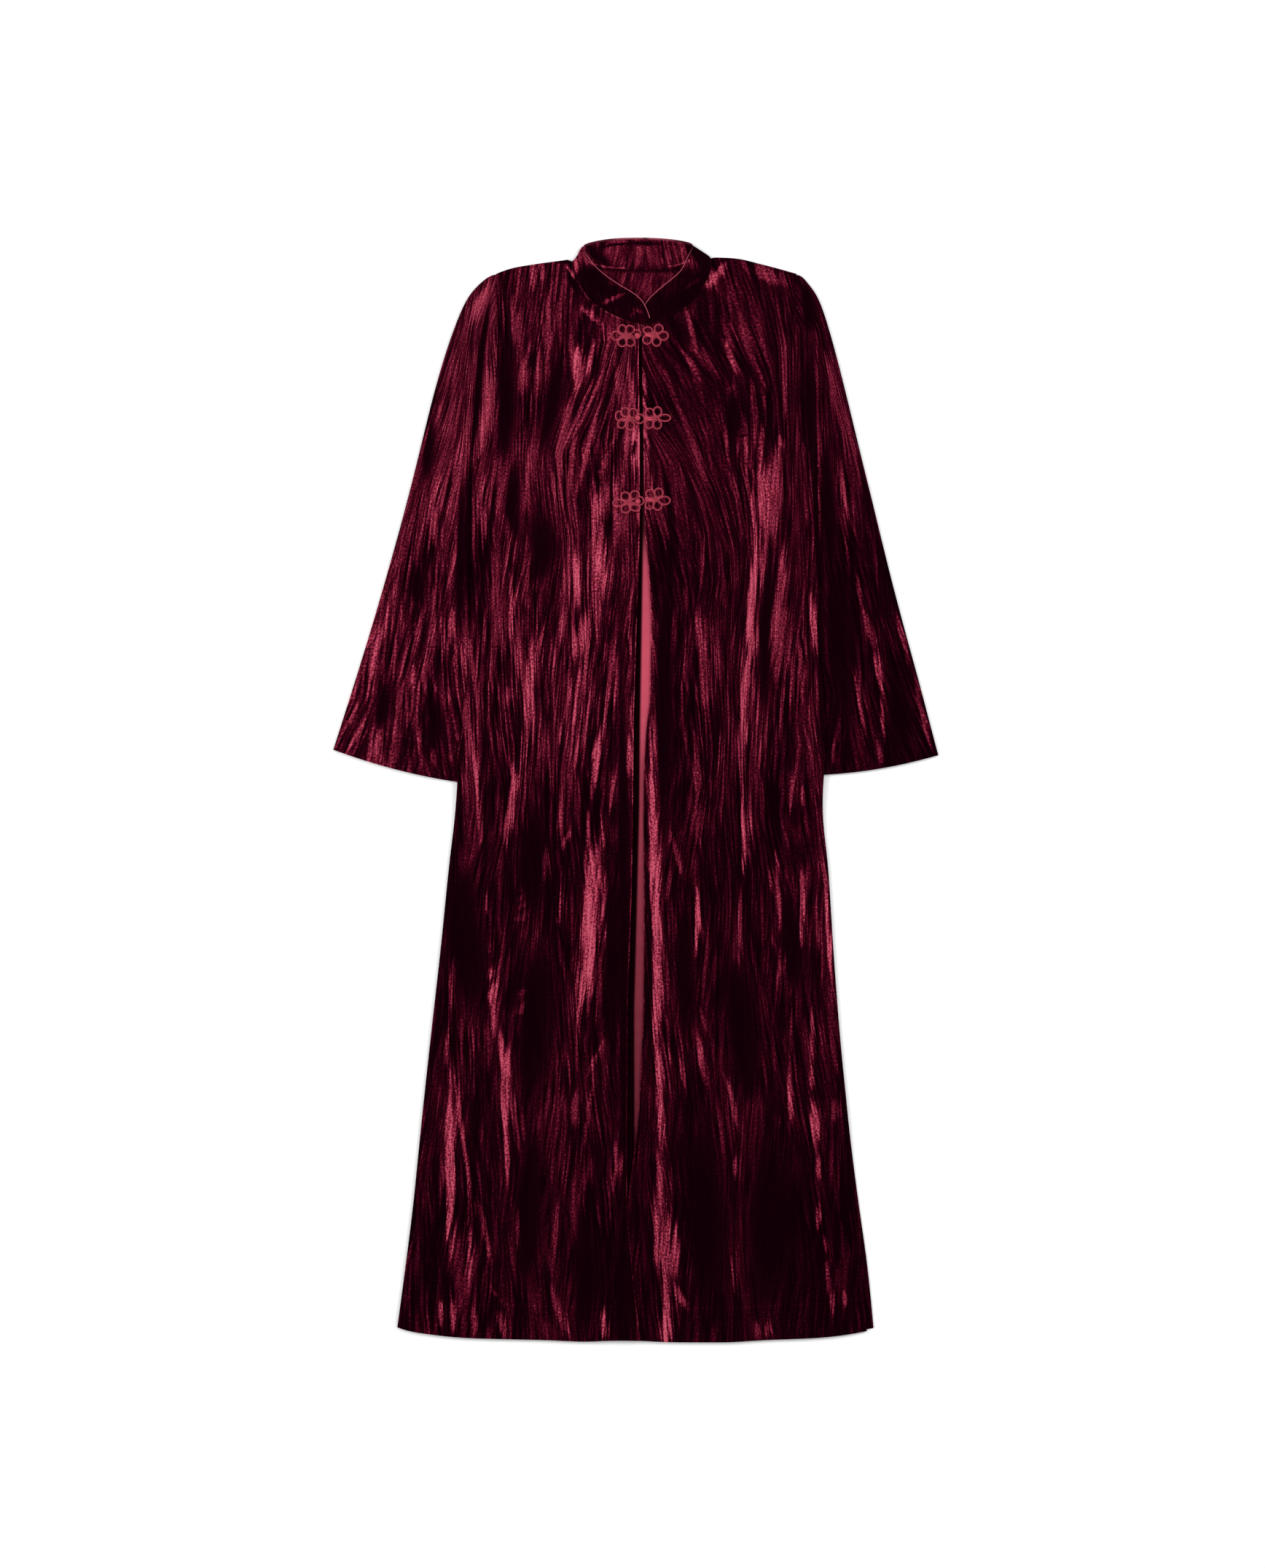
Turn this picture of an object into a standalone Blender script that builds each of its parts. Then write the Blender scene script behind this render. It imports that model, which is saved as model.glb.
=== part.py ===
"""Kaftan coat in crushed velvet, laid flat on its back.

X runs to the right of the picture, Y up the garment to the collar, Z up from the surface it lies on.
The origin is under the middle of the coat. "Right" and "left" are the wearer's, so the right front
is at -X. Sizes are in millimetres and become metres where a mesh is made.
"""

from collections import namedtuple

import bmesh
import bpy
import numpy as np
from mathutils import Vector
from mathutils.bvhtree import BVHTree

for old in list(bpy.data.objects):
    bpy.data.objects.remove(old)

MM = 0.001

# Cloth, and the space that neighbouring pieces keep
VELVET = 1.6
SATIN = 1.0
COLLAR = 2.8
PIPING_RADIUS = 1.0
PIPING_GAP = 0.9  # the band turns sharply at the shoulders, where less would touch
SEAM = 0.3

# Where the sleeves lie under the body's sides, the body is lifted over them.
SLEEVE_EDGE = 2 * VELVET + SEAM
LIFT = SLEEVE_EDGE + 0.4
LIFT_TOP, LIFT_FULL_TOP = 420, 405
LIFT_FULL_LOW, LIFT_LOW = 0, -40
LIFT_FULL_IN, LIFT_IN = 24, 48

# The fronts lie over the lining, and the right front laps over the left one near the hem.
OVER_LINING = SATIN + SEAM
LAP = VELVET + SEAM + 0.2
SHOULDER_EASE = 36
LINING_INSET = 56
LINING_HEM = 25
FACING_LOW = 596

# Heights at which the body's rows meet its side edge, as bands of even steps
RowBand = namedtuple("RowBand", "low high steps")
ROW_BANDS = (
    RowBand(-702, -40, 15),
    RowBand(-40, 0, 1),
    RowBand(0, 405, 10),
    RowBand(405, 420, 1),
    RowBand(420, 672, 8),
)
UNDERARM = 420
SHOULDER = 672
ARMHOLE_STEPS = ROW_BANDS[-1].steps
SIDE_COLUMNS = (0, 10, 24, 36, 48)

# Side edges of the body from the hem up, with the armhole above the underarm
Side = namedtuple("Side", "y right left back_left")
SIDES = (
    Side(-702, -311, 301, 310),
    Side(-620, -300, 293.5, 302),
    Side(-540, -290, 286.5, 290.5),
    Side(-440, -280, 278, 278),
    Side(-320, -267, 266, 266),
    Side(-200, -253.5, 257, 257),
    Side(-90, -242.5, 250, 250),
    Side(-20, -234, 242, 242),
    Side(30, -231.5, 246.5, 246.5),
    Side(90, -227, 247.5, 247.5),
    Side(150, -219, 241, 241),
    Side(210, -215, 235, 235),
    Side(320, -214, 241.5, 241.5),
    Side(400, -213.5, 238.5, 238.5),
    Side(420, -212.5, 236.5, 236.5),
    Side(452, -191, 216, 216),
    Side(483, -182.5, 209.5, 209.5),
    Side(560, -181, 209.5, 209.5),
    Side(672, -182, 209.5, 209.5),
)

# The two front edges from the hem up. Below -500 the left one runs under the right one.
FrontEdge = namedtuple("FrontEdge", "y right left")
FRONT_EDGES = (
    FrontEdge(-720, 6, -14),
    FrontEdge(-634, -3.6, -14),
    FrontEdge(-570, -9, -12),
    FrontEdge(-515, -12, -8),
    FrontEdge(-433, -11.5, 3),
    FrontEdge(-356, -11, 6.7),
    FrontEdge(-288, -10.9, 9.8),
    FrontEdge(-158, -6.2, 10.9),
    FrontEdge(-22, -3.7, 10),
    FrontEdge(79, -2.9, 11.9),
    FrontEdge(226, 1.4, 15.7),
    FrontEdge(345, 5, 12.2),
    FrontEdge(459, 5, 10),
    FrontEdge(570, 3.5, 8.3),
    FrontEdge(607, 5, 9.6),
)

# Hem heights across the coat
Hem = namedtuple("Hem", "x front back")
HEMS = (
    Hem(-311, -700, -700),
    Hem(-297, -705, -703),
    Hem(-278, -708, -706),
    Hem(-221, -714, -712),
    Hem(-107, -717, -715),
    Hem(-69, -719, -716),
    Hem(-31, -717, -715),
    Hem(7, -717.5, -715),
    Hem(45, -719.6, -717),
    Hem(121, -719.6, -717),
    Hem(159, -717, -715),
    Hem(235, -714, -712),
    Hem(273, -710, -708),
    Hem(301, -705, -703),
    Hem(310, -703, -701),
)

# Upper edges: the shoulder slopes up to the neck point, then the neck seam falls to the opening.
Rim = namedtuple("Rim", "x y")
RIGHT_SHOULDER = (Rim(-182, 672), Rim(-164, 679.5), Rim(-126, 685.5), Rim(-107, 688), Rim(-88.5, 690.5))
LEFT_SHOULDER = (Rim(99.5, 693.5), Rim(121, 693), Rim(140, 691), Rim(159, 685.5), Rim(178, 681), Rim(209.5, 672))
RIGHT_NECK = (Rim(-80, 677), Rim(-64, 648), Rim(-51, 633.5), Rim(-35, 623.5), Rim(-14, 614.5), Rim(6, 607.5))
LEFT_NECK = (Rim(9, 606.5), Rim(29, 611), Rim(40, 615), Rim(57, 624.5), Rim(72, 636), Rim(85, 654), Rim(93, 666))
BACK_NECK = (
    Rim(-71, 684),
    Rim(-57.5, 680),
    Rim(-31, 677.8),
    Rim(12.8, 676.4),
    Rim(59.5, 676.6),
    Rim(78.4, 679.6),
    Rim(89, 684),
)

# Sleeve sections from the armhole to the cuff. The inner end is at height inner_y and lies this far
# under the body's side (below nought: clear of it); bow is how far the section follows the armhole.
Section = namedtuple("Section", "inner_y tuck outer_x outer_y bow")
RIGHT_SLEEVE = (
    Section(420, -0.3, -182, 672, 1),
    Section(419, -1.6, -192, 668, 0.5),
    Section(400, -2, -201, 661, 0),
    Section(376, -1, -217, 645.5, 0),
    Section(345, 5, -230.5, 618, 0),
    Section(305, 16, -247.5, 570.5, 0),
    Section(262, 16, -264, 513.5, 0),
    Section(222, 16, -281.5, 440, 0),
    Section(182, 16, -300.5, 364, 0),
    Section(142, 16, -321.5, 288, 0),
    Section(102, 16, -343.5, 212, 0),
    Section(60, 16, -367, 136, 0),
    Section(30, 16, -383.5, 84, 0),
    Section(8, 16, -393.8, 52, 0),
)
LEFT_SLEEVE = (
    Section(420, -0.3, 209.5, 672, 1),
    Section(419, -1.6, 217, 668, 0.5),
    Section(400, -2, 224, 660, 0),
    Section(376, -1, 236, 645, 0),
    Section(345, 4, 246, 620, 0),
    Section(305, 14, 259.5, 573, 0),
    Section(262, 16, 274, 516, 0),
    Section(222, 16, 292, 440, 0),
    Section(182, 16, 311, 364, 0),
    Section(142, 16, 329, 288, 0),
    Section(105, 16, 349, 212, 0),
    Section(68, 16, 370, 136, 0),
    Section(42, 16, 384, 82, 0),
    Section(19, 16, 393.8, 45, 0),
)
CUFF_SAG = 5.5
SLEEVE_CROWN = 1.4
SLEEVE_BULGE = 0.8

# Folds: the crest runs from one end to the other, height above the cloth and half width
Fold = namedtuple("Fold", "x0 y0 x1 y1 height half_width")
RIGHT_FOLDS = (
    Fold(-4, 330, -8, -470, 2.2, 16),
    Fold(-64, -40, -57, -330, 5.0, 24),
    Fold(-235, -390, -228, -670, 5.0, 26),
    Fold(-172, -350, -175, -560, 4.0, 24),
    Fold(-40, 550, -92, 420, 3.5, 20),
    Fold(-96, 400, -104, 190, 3.5, 22),
    Fold(-130, 180, -124, 30, 4.5, 24),
    Fold(-160, 110, -150, -90, 4.0, 22),
    Fold(-120, -380, -112, -640, 3.5, 24),
    Fold(-150, 560, -146, 330, 3.0, 24),
)
LEFT_FOLDS = (
    Fold(27, 110, 30, -700, 5.5, 20),
    Fold(163, 380, 140, 120, 5.0, 24),
    Fold(140, 120, 135, -210, 4.5, 24),
    Fold(192, 360, 178, 160, 3.5, 20),
    Fold(40, 550, 100, 390, 3.5, 20),
    Fold(84, 300, 96, 60, 3.5, 24),
    Fold(96, -90, 104, -360, 3.5, 26),
    Fold(204, -300, 226, -600, 4.5, 28),
    Fold(150, -400, 158, -640, 3.5, 24),
    Fold(160, 600, 176, 470, 3.0, 22),
)
RIGHT_SLEEVE_FOLDS = (
    Fold(-196, 620, -199, 470, 2.2, 10),
    Fold(-226, 560, -262, 330, 2.2, 20),
    Fold(-262, 330, -300, 90, 2.2, 22),
    Fold(-236, 330, -262, 60, 2.0, 18),
    Fold(-318, 240, -352, 70, 2.0, 20),
)
LEFT_SLEEVE_FOLDS = (
    Fold(222, 620, 226, 470, 2.2, 10),
    Fold(248, 560, 282, 330, 2.2, 20),
    Fold(282, 330, 322, 90, 2.2, 22),
    Fold(262, 330, 284, 60, 2.0, 18),
    Fold(326, 240, 362, 70, 2.0, 20),
)

# Collar sections from the centre-back seam, round the fold at the shoulder, to the front opening.
# Each gives the band's lower and upper edge.
Band = namedtuple("Band", "low_x low_y low_z top_x top_y top_z")
RIGHT_COLLAR = (
    Band(12.5, 677.4, 1.4, 12.5, 716.8, 1.4),
    Band(-10, 678.4, 1.4, -8, 716.8, 1.4),
    Band(-33, 679.2, 1.4, -29, 716, 1.4),
    Band(-54, 681.2, 1.4, -47, 713.4, 1.6),
    Band(-71, 685.6, 1.8, -59.5, 710.5, 2.2),
    Band(-80, 689.2, 2.6, -66, 708, 3.2),
    Band(-84.4, 690.4, 3.8, -69, 706.2, 4.6),
    Band(-85.8, 688.2, 5, -70, 703.6, 6.4),
    Band(-84, 683, 5.9, -68.5, 699.6, 8.2),
    Band(-80.5, 675, 6.1, -65, 693.5, 9.4),
    Band(-76, 663, 6.3, -60, 686.5, 10.2),
    Band(-68, 649, 6.6, -53.5, 679, 10.6),
    Band(-57.5, 635.5, 6.6, -43, 669.5, 10.8),
    Band(-42, 624.5, 6.6, -30, 660, 10.8),
    Band(-22, 614.8, 6.6, -15, 651, 10.8),
    Band(-5, 609.2, 6.8, 1.5, 641.5, 10.9),
    Band(5, 606.4, 7.4, 11, 630, 11),
    Band(8, 605.6, 8, 16.5, 613, 11),
)
LEFT_COLLAR = (
    Band(13.1, 677.4, 1.4, 13.1, 716.8, 1.4),
    Band(37, 678, 1.4, 35, 716, 1.4),
    Band(59, 679.2, 1.4, 54, 713.8, 1.4),
    Band(77, 682.8, 1.4, 66, 711.4, 1.8),
    Band(87.5, 687, 2, 71.5, 709.5, 2.6),
    Band(93.5, 690.6, 2.8, 74.5, 707.5, 3.6),
    Band(97, 692.6, 4.4, 76, 706.5, 5.4),
    Band(98.5, 686, 5.8, 74.5, 702.5, 7.8),
    Band(98, 676.5, 6.1, 71, 696, 9.2),
    Band(93.5, 664.5, 6.4, 66.5, 686.5, 10),
    Band(86, 653, 6.6, 62.5, 677, 10.2),
    Band(75, 638.5, 6.6, 55, 668.5, 10.2),
    Band(61.5, 626, 6.6, 45, 661, 9.8),
    Band(46, 617, 6.6, 34.5, 652.5, 9.2),
    Band(32, 611, 6.6, 24.5, 644, 8.2),
    Band(20, 607.6, 6.6, 15.5, 635, 7.2),
    Band(13.6, 606.6, 6.6, 11.8, 626, 6.8),
)
BAND_STEPS = 4
PIPING_SIDES = 6

# Frogs: each half's centre line height and its middle at the opening, then its loops
Frog = namedtuple("Frog", "y tilt")
FROGS = (Frog(591.5, 8), Frog(484, 2), Frog(375.5, 2))
Loop = namedtuple("Loop", "x y radius_x radius_y")
FROG_LOOPS = (
    Loop(9.5, 6.9, 4.7, 4.5),
    Loop(9.5, -6.9, 4.7, 4.5),
    Loop(19.5, 7.8, 4.6, 4.9),
    Loop(19.5, -7.8, 4.6, 4.9),
    Loop(29.5, 0, 6.2, 3.8),
)
CORD_RADIUS = 1.1
CROSSING = 0.06  # each loop lies this much higher than the one before
CORD_SIDES = 3
LOOP_STEPS = 10
SHANK_HALF_WIDTH = 2.6
SHANK_END = 24.5
LEFT_SHANK_START, RIGHT_SHANK_START = 1.6, 7.6
KNOT_RADIUS = 3.8
KNOT_HEIGHT = 5.2
KNOT_LOOP = Loop(2.2, 0, 6, 5.8)
FROG_FLAT_X, FROG_FLAT_Y = 44, 17

Finish = namedtuple("Finish", "colour roughness")
FINISHES = {
    "velvet": Finish((0.115, 0.004, 0.018), 0.75),
    "satin": Finish((0.42, 0.06, 0.10), 0.35),
    "piping": Finish((0.50, 0.09, 0.14), 0.35),
    "cord": Finish((0.45, 0.04, 0.085), 0.5),
}


def smooth(value, start, end):
    """0 at start, 1 at end, with soft ends."""
    t = np.clip((np.asarray(value, float) - start) / (end - start), 0, 1)
    return t * t * (3 - 2 * t)


def curve(rows, column, key="y"):
    """A function of the key through one column of a table, smooth and never past its rows."""
    rows = sorted(rows, key=lambda row: getattr(row, key))
    at = np.array([getattr(row, key) for row in rows], float)
    value = np.array([getattr(row, column) for row in rows], float)
    steep = np.diff(value) / np.diff(at)
    slope = np.zeros(len(at))
    slope[0], slope[-1] = steep[0], steep[-1]
    turning = steep[:-1] * steep[1:] <= 0
    total = np.where(turning, 1, steep[:-1] + steep[1:])
    slope[1:-1] = np.where(turning, 0, 2 * steep[:-1] * steep[1:] / total)

    def read(where):
        where = np.clip(where, at[0], at[-1])
        i = np.clip(np.searchsorted(at, where) - 1, 0, len(at) - 2)
        width = at[i + 1] - at[i]
        t = (where - at[i]) / width
        start = (1 + 2 * t) * (1 - t) ** 2 * value[i] + t * (1 - t) ** 2 * width * slope[i]
        end = t * t * (3 - 2 * t) * value[i + 1] + t * t * (t - 1) * width * slope[i + 1]
        return start + end

    return read


def straight(rows):
    """The height of an edge at x, straight from point to point."""
    rows = sorted(rows)
    return lambda x: np.interp(x, [row.x for row in rows], [row.y for row in rows])


def new_object(name, points, faces, finish):
    """A mesh object in metres, faces outwards, with its own material."""
    mesh = bpy.data.meshes.new(name)
    mesh.from_pydata([tuple(MM * c for c in map(float, p)) for p in points], [], faces)
    shape = bmesh.new()
    shape.from_mesh(mesh)
    bmesh.ops.recalc_face_normals(shape, faces=shape.faces)
    shape.to_mesh(mesh)
    shape.free()
    mesh.shade_smooth()
    mesh.set_sharp_from_angle(angle=np.radians(50))
    obj = bpy.data.objects.new(name, mesh)
    bpy.context.collection.objects.link(obj)
    material = bpy.data.materials.new(name)
    material.use_nodes = True
    shader = material.node_tree.nodes["Principled BSDF"]
    shader.inputs["Base Color"].default_value = (*FINISHES[finish].colour, 1)
    shader.inputs["Roughness"].default_value = FINISHES[finish].roughness
    material.diffuse_color = (*FINISHES[finish].colour, 1)
    mesh.materials.append(material)
    return obj


def wall(name, upper, lower, finish):
    """A closed wall between two grids of points, shaped (rows, columns, 3)."""
    rows, columns = upper.shape[:2]
    under = rows * columns
    faces = []
    for r in range(rows - 1):
        for c in range(columns - 1):
            a, d = r * columns + c, (r + 1) * columns + c
            faces.append((a, a + 1, d + 1, d))
            faces.append((under + a, under + d, under + d + 1, under + a + 1))
    low_side = list(range(columns))
    far_side = [r * columns + columns - 1 for r in range(1, rows)]
    high_side = [(rows - 1) * columns + c for c in range(columns - 2, -1, -1)]
    near_side = [r * columns for r in range(rows - 2, 0, -1)]
    rim = low_side + far_side + high_side + near_side
    for a, b in zip(rim, rim[1:] + rim[:1]):
        faces.append((under + a, under + b, b, a))
    points = np.concatenate([upper.reshape(-1, 3), lower.reshape(-1, 3)])
    return new_object(name, points, faces, finish)


def raised(plan, low, thickness):
    """The upper and lower grids of a wall whose underside is at height low over each plan point."""
    return np.dstack([plan, low + thickness]), np.dstack([plan, low])


def folds_over(folds, x, y):
    """Height that the folds add at each point: a soft ridge that dies away at both ends."""
    total = np.zeros_like(x)
    for fold in folds:
        run = np.array([fold.x1 - fold.x0, fold.y1 - fold.y0], float)
        length = np.hypot(*run)
        along = ((x - fold.x0) * run[0] + (y - fold.y0) * run[1]) / length
        across = ((x - fold.x0) * run[1] - (y - fold.y0) * run[0]) / length
        body = smooth(along, -fold.half_width, 0.3 * length) * smooth(along, length + fold.half_width, 0.7 * length)
        total += fold.height * body * (1 - smooth(np.abs(across), 0, fold.half_width))
    return total


side = {name: curve(SIDES, name) for name in ("right", "left", "back_left")}
front_edge = {name: curve(FRONT_EDGES, name) for name in ("right", "left")}
hem = {name: curve(HEMS, name, key="x") for name in ("front", "back")}
row_heights = [-702.0]
for band in ROW_BANDS:
    row_heights += list(np.linspace(band.low, band.high, band.steps + 1)[1:])
row_heights = np.array(row_heights)


def shoulder_line(x):
    """Height of the shoulder seams, level across the neck between them."""
    return np.interp(x, *zip(*sorted(RIGHT_SHOULDER + LEFT_SHOULDER)))


def lift(inboard, y):
    """How far the body is raised over the sleeve that lies under its side."""
    window = smooth(y, LIFT_TOP, LIFT_FULL_TOP) * smooth(y, LIFT_LOW, LIFT_FULL_LOW)
    return LIFT * window * smooth(inboard, LIFT_IN, LIFT_FULL_IN)


def body_plan(columns, low_edge, high_edge):
    """Plan points of a body panel, one row for each row height.

    A column is a function from height to x. Its ends are where it meets the hem and the upper edge.
    """
    plan = np.zeros((len(row_heights), len(columns), 2))
    share = (row_heights - row_heights[0]) / (row_heights[-1] - row_heights[0])
    for c, column in enumerate(columns):
        low = low_edge(column(row_heights[0]))
        high = high_edge(column(row_heights[-1]))
        plan[:, c, 1] = low + (high - low) * share
        plan[:, c, 0] = column(plan[:, c, 1])
    return plan


def side_columns(edge, inward):
    """The columns at fixed distances inboard of a side edge, outermost first."""
    return [lambda y, d=d: edge(y) + inward * d for d in SIDE_COLUMNS]


def between(first, last, shares):
    """Columns at these shares of the way from one column to another."""
    return [lambda y, s=s: first(y) + s * (last(y) - first(y)) for s in shares]


def inboard_of(plan):
    """Distance of each plan point from the nearer side edge."""
    x, y = plan[..., 0], plan[..., 1]
    return np.minimum(x - side["right"](y), side["left"](y) - x)


def front_low(plan, folds, lap):
    """Height of a front's underside: on the back at its seams, over the lining and folded between."""
    x, y = plan[..., 0], plan[..., 1]
    inboard = inboard_of(plan)
    eased = smooth(inboard, 0, LIFT_IN) * smooth(shoulder_line(x) - y, 0, SHOULDER_EASE)
    by_frog = np.ones_like(x)
    for frog in FROGS:
        near_y = smooth(np.abs(y - frog.y), FROG_FLAT_Y + 24, FROG_FLAT_Y)
        near_x = smooth(np.abs(x), FROG_FLAT_X + 16, FROG_FLAT_X)
        by_frog *= 1 - near_x * near_y
    fold = folds_over(folds, x, y) * eased * by_frog
    return VELVET + SEAM + lift(inboard, y) + OVER_LINING * eased + fold + lap(x, y) * eased


def make_back():
    """The back, flat on the surface and lifted over the sleeves at its sides."""
    right, left = side_columns(side["right"], 1), side_columns(side["back_left"], -1)
    middle = between(right[-1], left[-1], np.linspace(0, 1, 9)[1:-1])
    top = straight(RIGHT_SHOULDER + BACK_NECK + LEFT_SHOULDER)
    plan = body_plan(right + middle + left[::-1], hem["back"], top)
    inboard = inboard_of(plan)
    return wall("back", *raised(plan, lift(inboard, plan[..., 1]), VELVET), "velvet")


def make_front_right():
    """The front at -X, whose lower edge laps over the other front."""
    outer = side_columns(side["right"], 1)
    at_neck = RIGHT_SHOULDER[-1].x
    width = front_edge["right"](SHOULDER) - outer[-1](SHOULDER)
    neck_share = (at_neck - outer[-1](SHOULDER)) / width
    shares = list(np.linspace(0, neck_share, 5)[1:]) + list(np.linspace(neck_share, 1, 9)[1:])
    columns = outer + between(outer[-1], front_edge["right"], shares)
    plan = body_plan(columns, hem["front"], straight(RIGHT_SHOULDER + RIGHT_NECK))

    def lap(x, y):
        return LAP * smooth(y, -440, -520) * smooth(x, -60, -26)

    return wall("front_right", *raised(plan, front_low(plan, RIGHT_FOLDS, lap), VELVET), "velvet")


def make_front_left():
    """The front at +X."""
    outer = side_columns(side["left"], -1)
    at_neck = LEFT_SHOULDER[0].x
    width = outer[-1](SHOULDER) - front_edge["left"](SHOULDER)
    neck_share = (at_neck - front_edge["left"](SHOULDER)) / width
    shares = list(np.linspace(0, neck_share, 9)) + list(np.linspace(neck_share, 1, 6)[1:-1])
    columns = between(front_edge["left"], outer[-1], shares) + outer[::-1]
    plan = body_plan(columns, hem["front"], straight(LEFT_NECK + LEFT_SHOULDER))
    low = front_low(plan, LEFT_FOLDS, lambda x, y: 0)
    return wall("front_left", *raised(plan, low, VELVET), "velvet")


def make_lining():
    """The satin back lining under the slit, and the velvet facing above it that the neck shows."""
    heights = np.linspace(row_heights[0] + LINING_HEM, FACING_LOW - SEAM, 12)
    shares = np.linspace(0, 1, 5)
    plan = np.zeros((len(heights), len(shares), 2))
    for r, y in enumerate(heights):
        ends = side["right"](y) + LINING_INSET, side["left"](y) - LINING_INSET
        plan[r, :, 0] = ends[0] + (ends[1] - ends[0]) * shares
        plan[r, :, 1] = y
    low = np.full(plan.shape[:2], VELVET + SEAM)
    wall("back_lining", *raised(plan, low, SATIN), "satin")

    top = straight(BACK_NECK)
    across = np.linspace(BACK_NECK[0].x, BACK_NECK[-1].x, 11)
    middle = (across[0] + across[-1]) / 2
    scoop = ((across - middle) / (across[-1] - middle)) ** 2
    upper_y, lower_y = top(across) - SEAM, FACING_LOW + SEAM + 30 * scoop
    plan = np.zeros((4, len(across), 2))
    for r, share in enumerate(np.linspace(0, 1, 4)):
        plan[r, :, 0] = across
        plan[r, :, 1] = lower_y + (upper_y - lower_y) * share
    low = np.full(plan.shape[:2], VELVET + SEAM)
    wall("neck_facing", *raised(plan, low, SATIN), "velvet")


def sleeve_plan(sections, edge, inward):
    """Plan points across the sleeve for each section, underarm side first."""
    share = np.linspace(0, 1, ARMHOLE_STEPS + 1)
    arm_y = UNDERARM + (SHOULDER - UNDERARM) * share
    arm_x = edge(arm_y) - inward * SEAM
    bow = arm_x - (arm_x[0] + (arm_x[-1] - arm_x[0]) * share)
    plan = np.zeros((len(sections), len(share), 2))
    for s, section in enumerate(sections):
        inner_x = edge(section.inner_y) + inward * section.tuck
        outer_x = section.outer_x - inward * SEAM * section.bow
        plan[s, :, 0] = inner_x + (outer_x - inner_x) * share + section.bow * bow
        plan[s, :, 1] = section.inner_y + (section.outer_y - section.inner_y) * share
    plan[-1, :, 1] -= CUFF_SAG * 4 * share * (1 - share)
    plan[-2, :, 1] -= 0.7 * CUFF_SAG * 4 * share * (1 - share)
    return plan


def make_sleeve(name, sections, folds, edge, inward):
    """A tube pressed flat: an outer and an inner loop of points at each section."""
    plan = sleeve_plan(sections, edge, inward)
    count, across = plan.shape[:2]
    x, y = plan[..., 0], plan[..., 1]
    share = np.linspace(0, 1, across)[None, :]
    clear_of_body = inward * (edge(y) - x)
    from_outer = (1 - share) * np.hypot(x[:, -1:] - x[:, :1], y[:, -1:] - y[:, :1])
    open_share = smooth(clear_of_body, 5, 26) * smooth(from_outer, 0, 22)
    from_armhole = smooth(np.arange(count), 0, 1)[:, None]
    rise = (SLEEVE_CROWN + folds_over(folds, x, y)) * open_share * from_armhole

    rings = []
    for wall_in, low, high in ((0, 0, SLEEVE_EDGE), (VELVET, VELVET, SLEEVE_EDGE - VELVET)):
        ring = []
        for s in range(count):
            way = (plan[s, -1] - plan[s, 0]) / np.hypot(*(plan[s, -1] - plan[s, 0]))
            row = plan[s].copy()
            bulge = SLEEVE_BULGE if s else 0
            row[0] += way * 1.5 * wall_in
            row[-1] -= way * 1.5 * wall_in
            under = [(*p, low) for p in row]
            over = [(*p, high + h) for p, h in zip(row, rise[s])]
            near = (*(row[0] - way * (bulge + 0.3 * wall_in)), (low + high) / 2)
            far = (*(row[-1] + way * (bulge + 0.3 * wall_in)), (low + high) / 2)
            if not s:
                near, far = (*row[0], (low + high) / 2), (*row[-1], (low + high) / 2)
            ring.append(under + [far] + over[::-1] + [near])
        rings.append(ring)
    around = len(rings[0][0])
    points = [p for ring in rings for loop in ring for p in loop]

    def at(ring, s, k):
        return (ring * count + s) * around + k % around

    faces = []
    for s in range(count - 1):
        for k in range(around):
            faces.append((at(0, s, k), at(0, s, k + 1), at(0, s + 1, k + 1), at(0, s + 1, k)))
            faces.append((at(1, s, k), at(1, s + 1, k), at(1, s + 1, k + 1), at(1, s, k + 1)))
    for k in range(around):
        faces.append((at(0, 0, k), at(1, 0, k), at(1, 0, k + 1), at(0, 0, k + 1)))
        end = count - 1
        faces.append((at(0, end, k), at(0, end, k + 1), at(1, end, k + 1), at(1, end, k)))
    return new_object(name, points, faces, "velvet")


def collar_edges(bands):
    """The collar band's lower and upper edge lines."""
    low = np.array([(b.low_x, b.low_y, b.low_z) for b in bands], float)
    top = np.array([(b.top_x, b.top_y, b.top_z) for b in bands], float)
    return low, top


def make_collar(name, bands):
    """A stiffened band, as thick as COLLAR, about the surface between its two edges."""
    low, top = collar_edges(bands)
    shares = np.linspace(0, 1, BAND_STEPS + 1)[None, :, None]
    middle = low[:, None] + (top - low)[:, None] * shares
    along = np.gradient(middle, axis=0)
    normal = np.cross(along, np.gradient(middle, axis=1))
    normal /= np.linalg.norm(normal, axis=2, keepdims=True)
    offset = normal * COLLAR / 2
    return wall(name, middle + offset, middle - offset, "velvet")


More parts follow.
